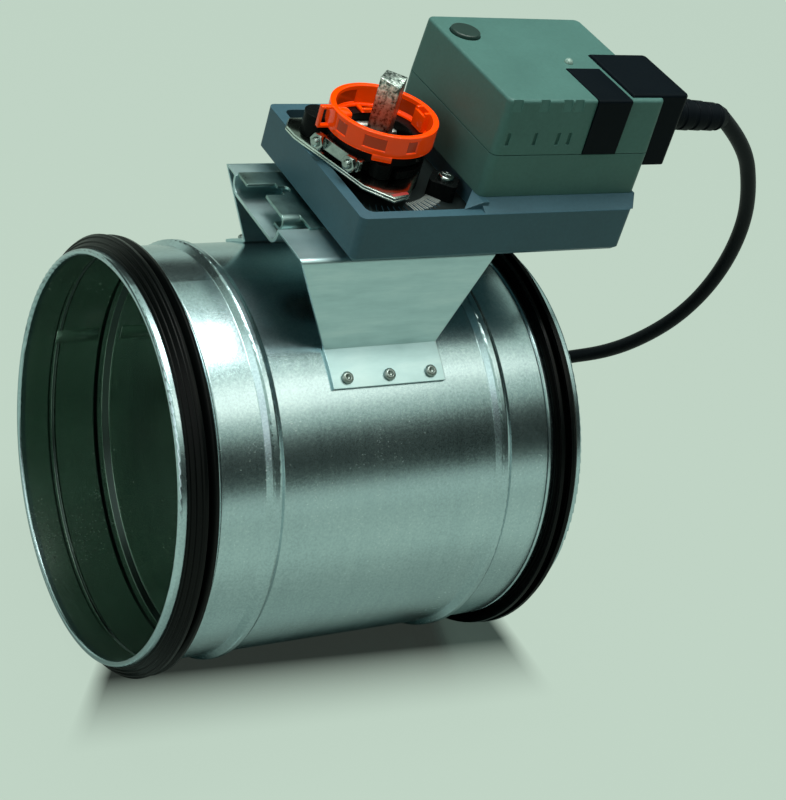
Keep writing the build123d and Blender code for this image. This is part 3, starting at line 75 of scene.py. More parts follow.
class Sock:
    """A node output that takes part in Python arithmetic; each operation adds its Math node."""

    def __init__(self, finish, link):
        self.finish = finish
        self.link = link

    def math(self, operation, *others):
        """Math node of one operation on this value and others."""
        values = dict(enumerate((self, *others)))
        return self.finish.node("ShaderNodeMath", {"operation": operation}, values)

    def __add__(self, other):
        return self.math("ADD", other)

    def __mul__(self, other):
        return self.math("MULTIPLY", other)

    def __sub__(self, other):
        return self.math("SUBTRACT", other)

    def __rsub__(self, other):
        return (self * -1.0) + other

    def __pow__(self, other):
        return self.math("POWER", other)

    def __gt__(self, other):
        return self.math("GREATER_THAN", other)

    def __lt__(self, other):
        return self.math("LESS_THAN", other)

    def size(self):
        """Absolute value."""
        return self.math("ABSOLUTE")

    def clamp(self):
        """This value held between 0 and 1."""
        return self.finish.node("ShaderNodeClamp", {}, {0: self})

    def part(self, axis):
        """One component of this vector."""
        return self.finish.node("ShaderNodeSeparateXYZ", {}, {0: self}, axis)


class Finish:
    """One material with helpers that add nodes."""

    def __init__(self, name, **sockets):
        self.material = bpy.data.materials.new(name)
        self.material.use_nodes = True
        self.tree = self.material.node_tree
        self.shader = self.tree.nodes["Principled BSDF"]
        for key, value in sockets.items():
            self.shader.inputs[key.replace("_", " ")].default_value = with_alpha(value)

    def node(self, kind, settings, values, output=0):
        """Any node: its settings first, then the values or links of its sockets."""
        made = self.tree.nodes.new(kind)
        for key, value in settings.items():
            if key == "stops":
                self.set_stops(made.color_ramp, value)
            else:
                setattr(made, key, value)
        for key, value in values.items():
            socket = made.inputs[key]
            if isinstance(value, Sock):
                self.tree.links.new(value.link, socket)
            else:
                socket.default_value = with_alpha(value) if socket.type == "RGBA" else value
        return Sock(self, made.outputs[output])

    def set_stops(self, ramp, stops):
        """Stops of a colour ramp as (position, colour)."""
        while len(ramp.elements) < len(stops):
            ramp.elements.new(0.5)
        for element, (position, colour) in zip(ramp.elements, stops):
            element.position = position
            element.color = (*colour, 1.0)

    def place(self, scale=(1, 1, 1), offset=(0, 0, 0)):
        """Object coordinates through a Mapping node."""
        coordinates = self.node("ShaderNodeTexCoord", {}, {}, "Object")
        return self.node("ShaderNodeMapping", {}, {"Vector": coordinates, "Scale": scale, "Location": offset})

    def noise(self, scale, detail=3.0, rough=0.55, stretch=(1, 1, 1), offset=(0, 0, 0)):
        """Noise from 0 to 1 over object coordinates."""
        values = {"Vector": self.place(stretch, offset), "Scale": scale, "Detail": detail, "Roughness": rough}
        return self.node("ShaderNodeTexNoise", {}, values, "Fac")

    def ramp(self, value, stops):
        """Colours along a value."""
        return self.node("ShaderNodeValToRGB", {"stops": stops}, {0: value})

    def mix(self, factor, first, second):
        """Blend of two colours."""
        values = {"Factor": factor, "A": first, "B": second}
        made = self.tree.nodes.new("ShaderNodeMix")
        made.data_type = "RGBA"
        for key, value in values.items():
            socket = [s for s in made.inputs if s.name == key and (key == "Factor" or s.type == "RGBA")][0]
            if isinstance(value, Sock):
                self.tree.links.new(value.link, socket)
            else:
                socket.default_value = with_alpha(value)
        return Sock(self, [s for s in made.outputs if s.type == "RGBA"][0])

    def feed(self, name, value):
        """Links a value to the shader's socket."""
        self.tree.links.new(value.link, self.shader.inputs[name])

    def soft_edges(self, radius=0.0004):
        """Normal that runs round each sharp edge."""
        return self.node("ShaderNodeBevel", {"samples": 6}, {"Radius": radius}, "Normal")

    def edge_mask(self, radius=0.0006):
        """Value that rises from 0 on flat faces to 1 along sharp edges."""
        straight = self.node("ShaderNodeNewGeometry", {}, {}, "Normal")
        values = {0: self.soft_edges(radius), 1: straight}
        level = self.node("ShaderNodeVectorMath", {"operation": "DOT_PRODUCT"}, values, "Value")
        return ((1.0 - level) * 5.0).clamp()

    def bump(self, height, strength, distance):
        """Bump over softened edges that feeds the shader's normal."""
        edges = self.soft_edges()
        values = {"Height": height, "Strength": strength, "Distance": distance, "Normal": edges}
        self.feed("Normal", self.node("ShaderNodeBump", {}, values, "Normal"))


def dress(node_names, finish):
    """Gives CAD nodes a material."""
    for name in node_names:
        node = nodes[name]
        node.data.materials.clear()
        node.data.materials.append(finish.material)


def round_edges(mesh, edges, width, segments=2):
    """Bevels edges by a width in millimetres."""
    bmesh.ops.bevel(mesh, geom=list(edges), offset=width * MM, offset_type="OFFSET", segments=segments,
                    profile=0.5, affect="EDGES", material=-1, clamp_overlap=True)


def sharp_edges(edges, angle=40.0):
    """Edges whose two faces meet at more than an angle."""
    limit = math.radians(angle)
    return [e for e in edges if e.is_valid and len(e.link_faces) == 2 and e.calc_face_angle(0.0) > limit]


def edges_of(verts):
    """Edges that touch the given vertices."""
    return list({edge for vert in verts for edge in vert.link_edges})


def block(mesh, low, high, turn, bevel):
    """Bevelled block between two corners about the shaft, turned round it; returns its first vertices."""
    verts = bmesh.ops.create_cube(mesh, size=1.0)["verts"]
    size = [(b - a) * MM for a, b in zip(low, high)]
    middle = at(*[(a + b) / 2 for a, b in zip(low, high)])
    bmesh.ops.scale(mesh, vec=size, verts=verts)
    bmesh.ops.translate(mesh, vec=middle, verts=verts)
    bmesh.ops.rotate(mesh, cent=at(0, 0, 0), matrix=Matrix.Rotation(math.radians(turn), 3, "Z"), verts=verts)
    if bevel:
        round_edges(mesh, edges_of(verts), bevel)
    return verts


def lathe(mesh, profile, steps, cent, axis, bevel=0.0):
    """Closed profile spun once round an axis."""
    before = set(mesh.faces)
    verts = [mesh.verts.new(point) for point in profile]
    edges = [mesh.edges.new(pair) for pair in zip(verts, verts[1:] + verts[:1])]
    bmesh.ops.spin(mesh, geom=verts + edges, cent=cent, axis=axis, dvec=(0, 0, 0), angle=math.tau,
                   steps=steps, use_merge=True)
    faces = [face for face in mesh.faces if face not in before]
    bmesh.ops.recalc_face_normals(mesh, faces=faces)
    if bevel:
        round_edges(mesh, sharp_edges({edge for face in faces for edge in face.edges}), bevel)


def mesh_piece(name, mesh, finish, body, replaced=()):
    """Turns a bmesh into a piece that rides on a body."""
    data = bpy.data.meshes.new(name)
    mesh.to_mesh(data)
    mesh.free()
    piece = bpy.data.objects.new(name, data)
    bpy.context.scene.collection.objects.link(piece)
    data.materials.append(finish.material)
    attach(piece, body)
    if replaced:
        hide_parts(*replaced)
    return piece


def smooth(piece, angle):
    """Smooth shading except at sharp edges."""
    data = piece.data
    shaped = bmesh.new()
    shaped.from_mesh(data)
    limit = math.radians(angle)
    for face in shaped.faces:
        face.smooth = True
    for edge in shaped.edges:
        sharp = len(edge.link_faces) == 2 and edge.calc_face_angle(0.0) > limit
        edge.smooth = not sharp
    shaped.to_mesh(data)
    shaped.free()


def galvanised_finish():
    """Rolled galvanised sheet: cloudy spangle and faint rings, an inside face painted a paler green as
    painted light for how the tube's inside is lit, and bead flanks darkened as painted shade.
    """
    f = Finish("galvanised_sheet", Metallic=1.0, Roughness=0.3)
    rings = f.noise(7.0, 3.0, 0.6, (36.0, 1.2, 1.2))
    cloud = f.noise(18.0, 4.0, 0.6)
    fine = f.noise(1100.0, 3.0, 0.6, (1.0, 1.0, 1.0), (3.1, 1.7, 0.4))
    tone = rings * 0.16 + cloud * 0.30 + fine * 0.54
    outer = f.ramp(tone, [(0.34, (0.38, 0.50, 0.54)), (0.52, (0.48, 0.62, 0.66)), (0.7, (0.58, 0.72, 0.75))])
    # Painted light: the inside face gets its own paler, greener tone, set for how the tube's inside is lit.
    painted_inside = f.ramp(tone, [(0.34, (0.50, 0.70, 0.60)), (0.7, (0.76, 0.92, 0.82))])
    # Painted shade: the bead flanks are darkened almost to black.
    lean = f.node("ShaderNodeNewGeometry", {}, {}, "Normal").part(0).size()
    flank_shade = (lean * 2.4 - 0.25).clamp()
    painted_inside = f.mix(flank_shade, painted_inside, (0.03, 0.045, 0.04))
    f.feed("Base Color", f.mix(self_facing(f), outer, painted_inside))
    f.feed("Roughness", cloud * 0.07 + fine * 0.10 + rings * 0.04 + 0.14)
    f.bump(fine, 0.06, 0.0002)
    return f


def self_facing(f):
    """1 where the sheet faces the duct's axis or lies in a bead's flank, between the end hems; there it takes
    the painted inside tone and the flanks' painted shade.
    """
    place = f.place()
    normal = f.node("ShaderNodeNewGeometry", {}, {}, "Normal")
    outward = place.part(1) * normal.part(1) + place.part(2) * normal.part(2)
    between = (place.part(0) - SHAFT_X * MM).size() < HEM_INSIDE * MM
    return (outward < FLANK_OUTWARD * MM) * between


def bracket_finish():
    """Folded galvanised sheet with brushed scuffs."""
    f = Finish("bracket_sheet", Metallic=1.0, Roughness=0.4)
    scuff = f.noise(60.0, 4.0, 0.65, (0.6, 1.0, 4.0))
    cloud = f.noise(30.0, 3.0, 0.6, (1, 1, 1), (2.0, 5.0, 1.0))
    tones = [(0.3, (0.40, 0.57, 0.60)), (0.5, (0.50, 0.68, 0.71)), (0.72, (0.64, 0.80, 0.82))]
    f.feed("Base Color", f.ramp(scuff * 0.6 + cloud * 0.4, tones))
    f.feed("Roughness", cloud * 0.2 + 0.28)
    f.bump(scuff, 0.12, 0.0005)
    return f


def steel_finish(name, colour, low, high, scale=120.0):
    """Bright or drawn steel with fine wear."""
    f = Finish(name, Metallic=1.0)
    wear = f.noise(scale, 4.0, 0.6)
    darker = tuple(c * 0.72 for c in colour)
    f.feed("Base Color", f.ramp(wear, [(0.35, darker), (0.6, colour)]))
    f.feed("Roughness", wear * (high - low) + low)
    f.bump(wear, 0.08, 0.0003)
    return f


def plastic_finish(name, colour, roughness, grain=900.0, strength=0.1, edge_light=1.35, **sockets):
    """Moulded plastic with a fine grain and slightly lighter edges."""
    f = Finish(name, **sockets)
    fine = f.noise(grain, 2.0, 0.5)
    cloud = f.noise(40.0, 3.0, 0.6)
    low = tuple(c * 0.9 for c in colour)
    high = tuple(min(1.0, c * 1.07) for c in colour)
    light = tuple(min(1.0, c * edge_light) for c in colour)
    body = f.ramp(cloud * 0.6 + fine * 0.4, [(0.35, low), (0.65, high)])
    f.feed("Base Color", f.mix(f.edge_mask() * 0.8, body, light))
    f.feed("Roughness", cloud * 0.1 + fine * 0.08 + (roughness - 0.08))
    f.bump(fine, strength, 0.0002)
    return f


def base_finish(colour):
    """Moulded base whose recess has a dark floor."""
    f = plastic_finish("base_plastic", colour, 0.42, 700.0, 0.15, Specular_IOR_Level=0.3)
    up = f.node("ShaderNodeNewGeometry", {}, {}, "Normal").part(2) > 0.9
    sunk = f.place().part(2) < RECESS_LIMIT * MM
    body = f.shader.inputs["Base Color"].links[0].from_socket
    f.feed("Base Color", f.mix(up * sunk, Sock(f, body), (0.012, 0.020, 0.020)))
    return f


def black_finish(name, colour, roughness, edge_light=1.6):
    """Black moulding or rubber that mirrors little of a pale room."""
    return plastic_finish(name, colour, roughness, 800.0, 0.06, edge_light, Specular_IOR_Level=0.05)


def orange_finish():
    """Clear orange moulding with a painted glow from emission that is no lamp; its tone attribute parts the
    glowing rims, the walls and the brown windows.
    """
    f = Finish("clear_orange", Roughness=0.14, IOR=1.5, Specular_IOR_Level=0.3)
    tone = f.node("ShaderNodeAttribute", {"attribute_name": "tone"}, {}, "Fac")
    cloud = f.noise(160.0, 3.0, 0.5)
    shade = tone + cloud * 0.12 - 0.06
    body = [(0.0, (0.26, 0.028, 0.002)), (0.25, (0.34, 0.034, 0.002)), (0.5, (0.62, 0.060, 0.002)),
            (0.95, (0.90, 0.065, 0.0))]
    painted_glow = [(0.2, (0.16, 0.012, 0.0)), (0.5, (0.38, 0.022, 0.0)), (0.95, (0.95, 0.05, 0.0))]
    f.feed("Base Color", f.ramp(shade, body))
    # Painted glow: emission stands in for light gathered in the clear plastic, brightest on the rims.
    f.feed("Emission Color", f.ramp(shade, painted_glow))
    f.shader.inputs["Emission Strength"].default_value = 0.6
    f.bump(cloud, 0.05, 0.0003)
    return f


def plate_finish():
    """Polished zinc plate, dark where it is worn, with a red mark at the pointer's tip."""
    f = Finish("pointer_zinc", Metallic=1.0)
    wear = f.noise(90.0, 4.0, 0.65)
    flat = f.node("ShaderNodeNewGeometry", {}, {}, "Normal").part(2) > 0.5
    place = f.place()
    across = place.part(0) - (SHAFT_X + POINTER_TIP[0]) * MM
    along = place.part(1) - POINTER_TIP[1] * MM
    stripe = (across.size() < 3.6 * MM) * ((along - across * 0.2).size() < 0.85 * MM) * flat
    top = f.ramp(wear, [(0.35, (0.16, 0.19, 0.17)), (0.6, (0.30, 0.35, 0.32))])
    side = f.ramp(wear, [(0.35, (0.62, 0.72, 0.68)), (0.6, (0.86, 0.95, 0.90))])
    steel = f.mix(flat, side, top)
    f.feed("Base Color", f.mix(stripe, steel, (0.36, 0.02, 0.015)))
    f.feed("Metallic", 1.0 - stripe)
    f.feed("Roughness", wear * 0.16 + stripe * 0.3 + 0.08)
    f.bump(wear, 0.06, 0.0003)
    return f


def sheared_bar_finish():
    """Drawn square bar, pitted and bright at its sheared end."""
    f = Finish("sheared_bar", Metallic=1.0)
    drawn = f.noise(500.0, 3.0, 0.6, (1.0, 1.0, 0.16))
    pits = f.noise(900.0, 4.0, 0.7)
    end = ((f.place().part(2) - SHEAR_START * MM) * 140.0).clamp()
    pitted = pits * 0.62 + drawn * 0.38
    dull = [(0.4, (0.10, 0.12, 0.10)), (0.56, (0.50, 0.56, 0.50))]
    bright = [(0.42, (0.06, 0.09, 0.08)), (0.5, (0.50, 0.58, 0.54)), (0.6, (0.92, 0.98, 0.94))]
    f.feed("Base Color", f.mix(end, f.ramp(pitted, dull), f.ramp(pitted, bright)))
    f.feed("Roughness", pits * 0.3 + 0.16)
    f.bump(pitted, 0.5, 0.0004)
    return f


def number_size(name, description, default, unit="LENGTH"):
    """A size shown in the panel."""
    return bpy.props.FloatProperty(name=name, description=description, default=default, unit=unit)


def colour_size(name, description, default):
    """A colour shown in the panel."""
    return bpy.props.FloatVectorProperty(name=name, description=description, default=default,
                                         subtype="COLOR", size=3)


class DamperSizes(bpy.types.PropertyGroup):
    """Sizes and colours of the dressed damper."""

    cable_length: number_size("Cable length", "Whole length of the free cable", 1.0)
    cable_diameter: number_size("Cable diameter", "Outside diameter of the jacket", 0.0064)
    housing_colour: colour_size("Housing", "Colour of the actuator's housing", (0.080, 0.200, 0.178))
    base_colour: colour_size("Base", "Colour of the actuator's base", (0.052, 0.132, 0.172))
    backdrop_colour: colour_size("Backdrop", "Colour of floor and backdrop", (0.539, 0.672, 0.571))
    floor_height: number_size("Floor", "Height of the floor below the duct's axis", -0.0847)
    lens_length: number_size("Lens", "Focal length on a 36 mm sensor", 87.53, "CAMERA")


class CameraOperator(bpy.types.Operator):
    """Sets the camera at the photograph's place."""

    bl_idname = "damper.camera"
    bl_label = "Camera"

    def execute(self, context):
        sizes = context.scene.damper_sizes
        data = bpy.data.cameras.new("camera")
        data.lens = sizes.lens_length
        data.sensor_width = 36.0
        camera = bpy.data.objects.new("camera", data)
        context.scene.collection.objects.link(camera)
        right = Vector((0.856144, -0.450221, 0.253612))
        down = Vector((-0.07882, -0.598831, -0.796987))
        forward = Vector((0.510691, 0.662346, -0.548172))
        turn = Matrix((right, -down, -forward)).transposed()
        shift = 0.6
        place = at(-362.48, -525.3, 449.88) + right * shift * MM
        camera.matrix_world = Matrix.Translation(place) @ turn.to_4x4()
        data.clip_start = 0.01
        data.clip_end = 50.0
        context.scene.camera = camera
        return {"FINISHED"}


LAMP_TARGET = (0, 0, 40)
# Name, place, span in metres, power in watts and colour of each lamp.
LAMPS = (
    ("key_box", (70, 80, 870), (0.5, 0.5), 5.8, (0.98, 1.0, 0.95)),
    ("strip_box", (380, -375, 790), (0.46, 0.22), 0.46, (1.0, 0.90, 0.80)),
    ("left_box", (-600, -130, 420), (0.5, 0.5), 0.9, (0.97, 1.0, 0.97)),
)
FLAG_RADIUS = 1400
FLAG_BOTTOM = 300
FLAG_TOP = 1120
FLAG_STEPS = 36
FLOOR_HALF = 6.0  # metres
SOFT_LIGHT = 0.13  # strength of the world where it only lights
CONTACT_EDGE = 40.0
CONTACT_SPREAD = 0.08
INLET_END = -85.0
OUTLET_END = 111.0
UNDER_EDGE = 90.0
UNDER_END = 200.0


def floor_finish(colour):
    """Pale floor that shows the backdrop's colour, with a painted shadow along the duct's line of contact."""
    f = Finish("floor_paint", Roughness=0.6, Base_Color=colour)
    seen = f.node("ShaderNodeLightPath", {}, {}, "Is Camera Ray")
    mirrored = f.node("ShaderNodeLightPath", {}, {}, "Is Glossy Ray")
    passed = f.node("ShaderNodeLightPath", {}, {}, "Is Transmission Ray")
    shown = (seen + (mirrored + passed) * 0.7).clamp()
    tint = f.node("ShaderNodeEmission", {}, {"Color": colour, "Strength": 1.0})
    pale = join_shaders(f, shown * 0.94, f.shader.outputs[0], tint.link)
    # Painted shadow: a dark glossy shader mixed in near the line of contact.
    shade = f.node("ShaderNodeBsdfGlossy", {}, {"Color": (0.13, 0.18, 0.175), "Roughness": 0.25})
    whole = join_shaders(f, contact_shade(f, mirrored), pale, shade.link)
    f.tree.links.new(whole, f.tree.nodes["Material Output"].inputs["Surface"])
    return f


def join_shaders(f, factor, first, second):
    """Output of a Mix Shader that blends two shader outputs."""
    joined = f.node("ShaderNodeMixShader", {}, {0: factor}).link
    f.tree.links.new(first, joined.node.inputs[1])
    f.tree.links.new(second, joined.node.inputs[2])
    return joined


def contact_shade(f, mirrored):
    """Shade beside the line of contact, and a wider one that only the metal above it mirrors."""
    place = f.place()
    along = place.part(0) - SHAFT_X * MM
    across = place.part(1)
    aside = across.size()
    nearness = (1.0 - (aside - CONTACT_EDGE * MM - along * CONTACT_SPREAD) * 26.0).clamp() ** 1.6
    inlet_end = ((along - INLET_END * MM - (across + 35.0 * MM) * 0.7) * 110.0).clamp()
    outlet_end = ((OUTLET_END * MM - along) * 110.0).clamp()
    beside = (1.0 - (aside - UNDER_EDGE * MM) * 6.0).clamp()
    under = beside * ((UNDER_END * MM - along.size()) * 12.0).clamp()
    return (nearness * (inlet_end * outlet_end) * 0.95 + mirrored * under * 0.55).clamp()


class StageOperator(bpy.types.Operator):
    """Lays the floor, the backdrop's colour and the lamps."""

    bl_idname = "damper.stage"
    bl_label = "Stage"

    def execute(self, context):
        sizes = context.scene.damper_sizes
        self.set_world(context, sizes)
        self.lay_floor(context, sizes)
        for name, spot, span, power, colour in LAMPS:
            self.hang_lamp(context, name, at(*spot), span, power, colour)
        self.hang_flag(context)
        return {"FINISHED"}

    def stand(self, context, name, mesh, finish):
        """Stage object made of a bmesh."""
        data = bpy.data.meshes.new(name)
        mesh.to_mesh(data)
        mesh.free()
        made = bpy.data.objects.new(name, data)
        context.scene.collection.objects.link(made)
        data.materials.append(finish.material)
        return made

    def hang_flag(self, context):
        """Black cloth all round, low over the floor, that only glossy surfaces mirror."""
        mesh = bmesh.new()
        low, high = [], []
        for step in range(FLAG_STEPS + 1):
            angle = math.tau * step / FLAG_STEPS
            x, y = FLAG_RADIUS * math.cos(angle), FLAG_RADIUS * math.sin(angle)
            low.append(mesh.verts.new(at(x, y, FLAG_BOTTOM)))
            high.append(mesh.verts.new(at(x, y, FLAG_TOP)))
        for k in range(FLAG_STEPS):
            mesh.faces.new((low[k], low[k + 1], high[k + 1], high[k]))
        cloth = Finish("flag_cloth", Base_Color=(0.01, 0.014, 0.014), Roughness=0.9)
        flag = self.stand(context, "flag", mesh, cloth)
        flag.visible_camera = False
        flag.visible_diffuse = False
        flag.visible_shadow = False

    def hang_lamp(self, context, name, spot, span, power, colour):
        """Area lamp turned to the damper."""
        data = bpy.data.lights.new(name, "AREA")
        data.shape = "RECTANGLE"
        data.size = span[0]
        data.size_y = span[1]
        data.energy = power
        data.color = colour
        lamp = bpy.data.objects.new(name, data)
        context.scene.collection.objects.link(lamp)
        lamp.location = spot
        lamp.rotation_euler = (at(*LAMP_TARGET) - spot).to_track_quat("-Z", "Y").to_euler()

    def set_world(self, context, sizes):
        """World that shows the backdrop's colour and lights the damper softly."""
        world = bpy.data.worlds.new("studio")
        world.use_nodes = True
        context.scene.world = world
        links = world.node_tree.links
        made = world.node_tree.nodes
        background = made["Background"]
        paths = made.new("ShaderNodeLightPath")
        shown = made.new("ShaderNodeMath")
        shown.operation = "MAXIMUM"
        mirrored = made.new("ShaderNodeMath")
        mirrored.operation = "MAXIMUM"
        links.new(paths.outputs["Is Glossy Ray"], mirrored.inputs[0])
        links.new(paths.outputs["Is Transmission Ray"], mirrored.inputs[1])
        links.new(paths.outputs["Is Camera Ray"], shown.inputs[0])
        links.new(mirrored.outputs[0], shown.inputs[1])
        strength = made.new("ShaderNodeMath")
        strength.operation = "MULTIPLY_ADD"
        links.new(shown.outputs[0], strength.inputs[0])
        strength.inputs[1].default_value = 1.0 - SOFT_LIGHT
        strength.inputs[2].default_value = SOFT_LIGHT
        background.inputs["Color"].default_value = (*sizes.backdrop_colour, 1.0)
        links.new(strength.outputs[0], background.inputs["Strength"])

    def lay_floor(self, context, sizes):
        """Wide floor under the duct."""
        mesh = bmesh.new()
        bmesh.ops.create_grid(mesh, x_segments=1, y_segments=1, size=FLOOR_HALF)
        bmesh.ops.translate(mesh, verts=mesh.verts, vec=(0.0, 0.0, sizes.floor_height))
        floor = self.stand(context, "floor", mesh, floor_finish(tuple(sizes.backdrop_colour)))


CABLE_ROUTE = (
    (145.0, -14.0, 154.05),
    (165.9, -10.6, 139.6),
    (184.3, -4.3, 115.0),
    (196.2, 1.8, 92.4),
    (203.3, 9.8, 65.5),
    (205.0, 19.6, 39.3),
    (203.1, 32.4, 15.4),
    (197.7, 50.4, -8.9),
    (189.0, 72.0, -28.0),
    (177.0, 93.0, -47.0),
    (160.0, 110.0, -66.0),
    (134.0, 121.5, -81.0),
    (106.0, 127.0, -81.3),
    (78.0, 127.2, -80.9),
)
COIL_CENTRE = (62.0, 92.0)
COIL_RADIUS = 38.0
COIL_FLOOR = -80.6
COIL_RISE = 6.8
COIL_TURNS = 2.75
COIL_POINTS = 12


class CableOperator(bpy.types.Operator):
    """Runs the cable from the boot to a tied coil behind the duct."""

    bl_idname = "damper.cable"
    bl_label = "Cable"

    def execute(self, context):
        sizes = context.scene.damper_sizes
        route = [at(*p) for p in CABLE_ROUTE] + self.coil_turns()
        data = bpy.data.curves.new("cable_line", "CURVE")
        data.dimensions = "3D"
        data.bevel_depth = sizes.cable_diameter / 2
        data.bevel_resolution = 6
        data.resolution_u = 10
        data.use_fill_caps = True
        spline = data.splines.new("NURBS")
        spline.points.add(len(route) - 1)
        for point, place in zip(spline.points, route):
            point.co = (*place, 1.0)
        spline.order_u = 3
        spline.use_endpoint_u = True
        piece = bpy.data.objects.new("cable_line", data)
        context.scene.collection.objects.link(piece)
        jacket = black_finish("cable_jacket", (0.007, 0.010, 0.013), 0.38)
        data.materials.append(jacket.material)
        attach(piece, "duct_unit")
        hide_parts("cable", "cable_coil")
        dress(["cable_tie"], plastic_finish("tie_plastic", (0.015, 0.016, 0.016), 0.4))
        dress(["wire_ends"], steel_finish("ferrule_metal", (0.6, 0.62, 0.6), 0.25, 0.45))
        return {"FINISHED"}

    def coil_turns(self):
        """Points of the coil's turns, which narrow and climb on to the first one."""
        points = []
        for k in range(1, int(COIL_TURNS * COIL_POINTS) + 1):
            ring = k / COIL_POINTS
            angle = math.radians(90.0 + 360.0 * ring)
            radius = COIL_RADIUS - 3.0 * min(ring, 1.0) - ring
            x = COIL_CENTRE[0] + radius * math.cos(angle)
            y = COIL_CENTRE[1] + radius * math.sin(angle)
            lift = COIL_RISE * min(1.0, max(0.0, ring - 0.75) / 0.5)
            points.append(at(x, y, COIL_FLOOR + lift))
        return points


LIP_FOOT = (82.7, 79.6)
LIP_RISE = (-4.25, 5.0)
RIDGE_RADIUS = 0.42
BAR_HALF = 4.0
BAR_FOOT = -83.2
BAR_TOP = 163.0
SEAM_RADIUS = 78.68
SEAM_STRIPS = ((-72.0, -53.5), (-43.5, 43.5), (53.5, 72.0))


class DuctOperator(bpy.types.Operator):
    """Finishes the casing, seals, blade and bearings; builds the seal ridges, shaft end and lap seam."""

    bl_idname = "damper.duct"
    bl_label = "Duct"

    def execute(self, context):
        dress(["casing", "blade_disc_inlet", "blade_disc_outlet"], galvanised_finish())
        rubber = plastic_finish("seal_rubber", (0.002, 0.003, 0.003), 0.3, 800.0, 0.06, 1.6,
                                Specular_IOR_Level=0.12)
        dress(["seal_inlet", "seal_outlet", "blade_seal", "shaft_rings"], rubber)
        self.ridge_seals(rubber)
        dress(["blade_rivets", "collar_retainers"],
              steel_finish("plated_steel", (0.66, 0.74, 0.73), 0.2, 0.4))
        self.cut_shaft()
        self.lay_seam()
        dress(["bush_upper", "bush_lower"], plastic_finish("bush_plastic", (0.02, 0.022, 0.022), 0.4))
        dress(["bearing_collar_upper", "bearing_collar_lower"],
              plastic_finish("collar_plastic", (0.6, 0.62, 0.6), 0.4))
        return {"FINISHED"}

    def ridge_seals(self, rubber):
        """Fine ridges round the front of each mouth's first lip."""
        mesh = bmesh.new()
        angles = [math.tau * k / 8 for k in range(8)]
        circle = [(RIDGE_RADIUS * math.cos(angle), RIDGE_RADIUS * math.sin(angle)) for angle in angles]
        for side in (-1, 1):
            for share in (0.12, 0.45, 0.8):
                x = LIP_FOOT[0] + LIP_RISE[0] * share
                r = LIP_FOOT[1] + LIP_RISE[1] * share
                ring = [at(side * (x + dx), 0.0, r + dr) for dx, dr in circle]
                lathe(mesh, ring, 144, at(0, 0, 0), (1, 0, 0))
        piece = mesh_piece("seal_ridges", mesh, rubber, "duct_unit")
        smooth(piece, 60.0)

    def cut_shaft(self):
        """Square bar with worn edges and a slanted, rough upper end."""
        mesh = bmesh.new()
        verts = block(mesh, (-BAR_HALF, -BAR_HALF, BAR_FOOT), (BAR_HALF, BAR_HALF, BAR_TOP), 45.0, 0.0)
        upright = [e for e in edges_of(verts) if abs(e.verts[0].co.z - e.verts[1].co.z) > 0.01]
        round_edges(mesh, upright, 0.4, 3)
        for direction in ((0, 1, 0), (0.2, 1, 0), (1, 0.1, 0)):
            whole = mesh.verts[:] + mesh.edges[:] + mesh.faces[:]
            bmesh.ops.bisect_plane(mesh, geom=whole, plane_co=at(0, 0, 0), plane_no=direction)
        for vert in mesh.verts:
            if vert.co.z > (BAR_TOP - 0.1) * MM and vert.co.y < 0.0:
                vert.co.z += vert.co.y * 0.28
        burred = [e for e in sharp_edges(mesh.edges, 60.0) if e.verts[0].co.z > 0.15]
        round_edges(mesh, burred, 0.12, 1)
        piece = mesh_piece("sheared_shaft", mesh, sheared_bar_finish(), "blade_unit",
                           ("damper_shaft",))
        smooth(piece, 30.0)

    def lay_seam(self):
        """Lap seam inside the casing on the far side, left open where the beads cross it."""
        mesh = bmesh.new()
        middle = (SEAM_RADIUS - 0.3) * MM
        for start, end in SEAM_STRIPS:
            low, high = (start, SEAM_RADIUS - 0.55, -3.2), (end, SEAM_RADIUS + 0.02, 3.2)
            verts = block(mesh, low, high, 0.0, 0.0)
            lower = [e for e in edges_of(verts) if (e.verts[0].co.y + e.verts[1].co.y) / 2 < middle]
            round_edges(mesh, lower, 0.25, 2)
        piece = mesh_piece("lap_seam", mesh, galvanised_finish(), "duct_unit")
        smooth(piece, 30.0)


SCREW_SEAT = 80.85
SCREW_MIDDLE = 2.0
SCREW_PITCH = 17.8
FLANGE_ANGLE = 54.7


class BracketOperator(bpy.types.Operator):
    """Finishes the bracket, its strap and its pad, and builds the flange screws."""

    bl_idname = "damper.bracket"
    bl_label = "Bracket"

    def execute(self, context):
        dress(["bracket"], bracket_finish())
        dress(["anti_rotation_strap"], steel_finish("dark_strap", (0.36, 0.52, 0.50), 0.22, 0.4))
        self.turn_screws()
        dress(["mounting_pad"], black_finish("pad_rubber", (0.008, 0.009, 0.009), 0.6))
        return {"FINISHED"}

    def turn_screws(self):
        """Small domed screws with a worn hollow, three through each flange."""
        mesh = bmesh.new()
        profile = ((0.05, -0.3), (2.2, -0.3), (2.4, 0.0), (2.35, 0.7), (1.95, 1.25), (1.3, 1.5), (1.1, 1.45),
                   (0.75, 0.8), (0.05, 0.6))
        angle = math.radians(FLANGE_ANGLE)
        for side in (-1, 1):
            out = Vector((0.0, side * math.cos(angle), math.sin(angle)))
            for k in (-1, 0, 1):
                foot = at(SCREW_MIDDLE + SCREW_PITCH * k, 0, 0) + out * SCREW_SEAT * MM
                points = [foot + out * h * MM + Vector((r * MM, 0.0, 0.0)) for r, h in profile]
                lathe(mesh, points, 32, foot, out)
        worn = steel_finish("worn_screw", (0.34, 0.40, 0.38), 0.2, 0.5, 500.0)
        piece = mesh_piece("flange_screws", mesh, worn, "duct_unit", ("bracket_screws",))
        smooth(piece, 40.0)


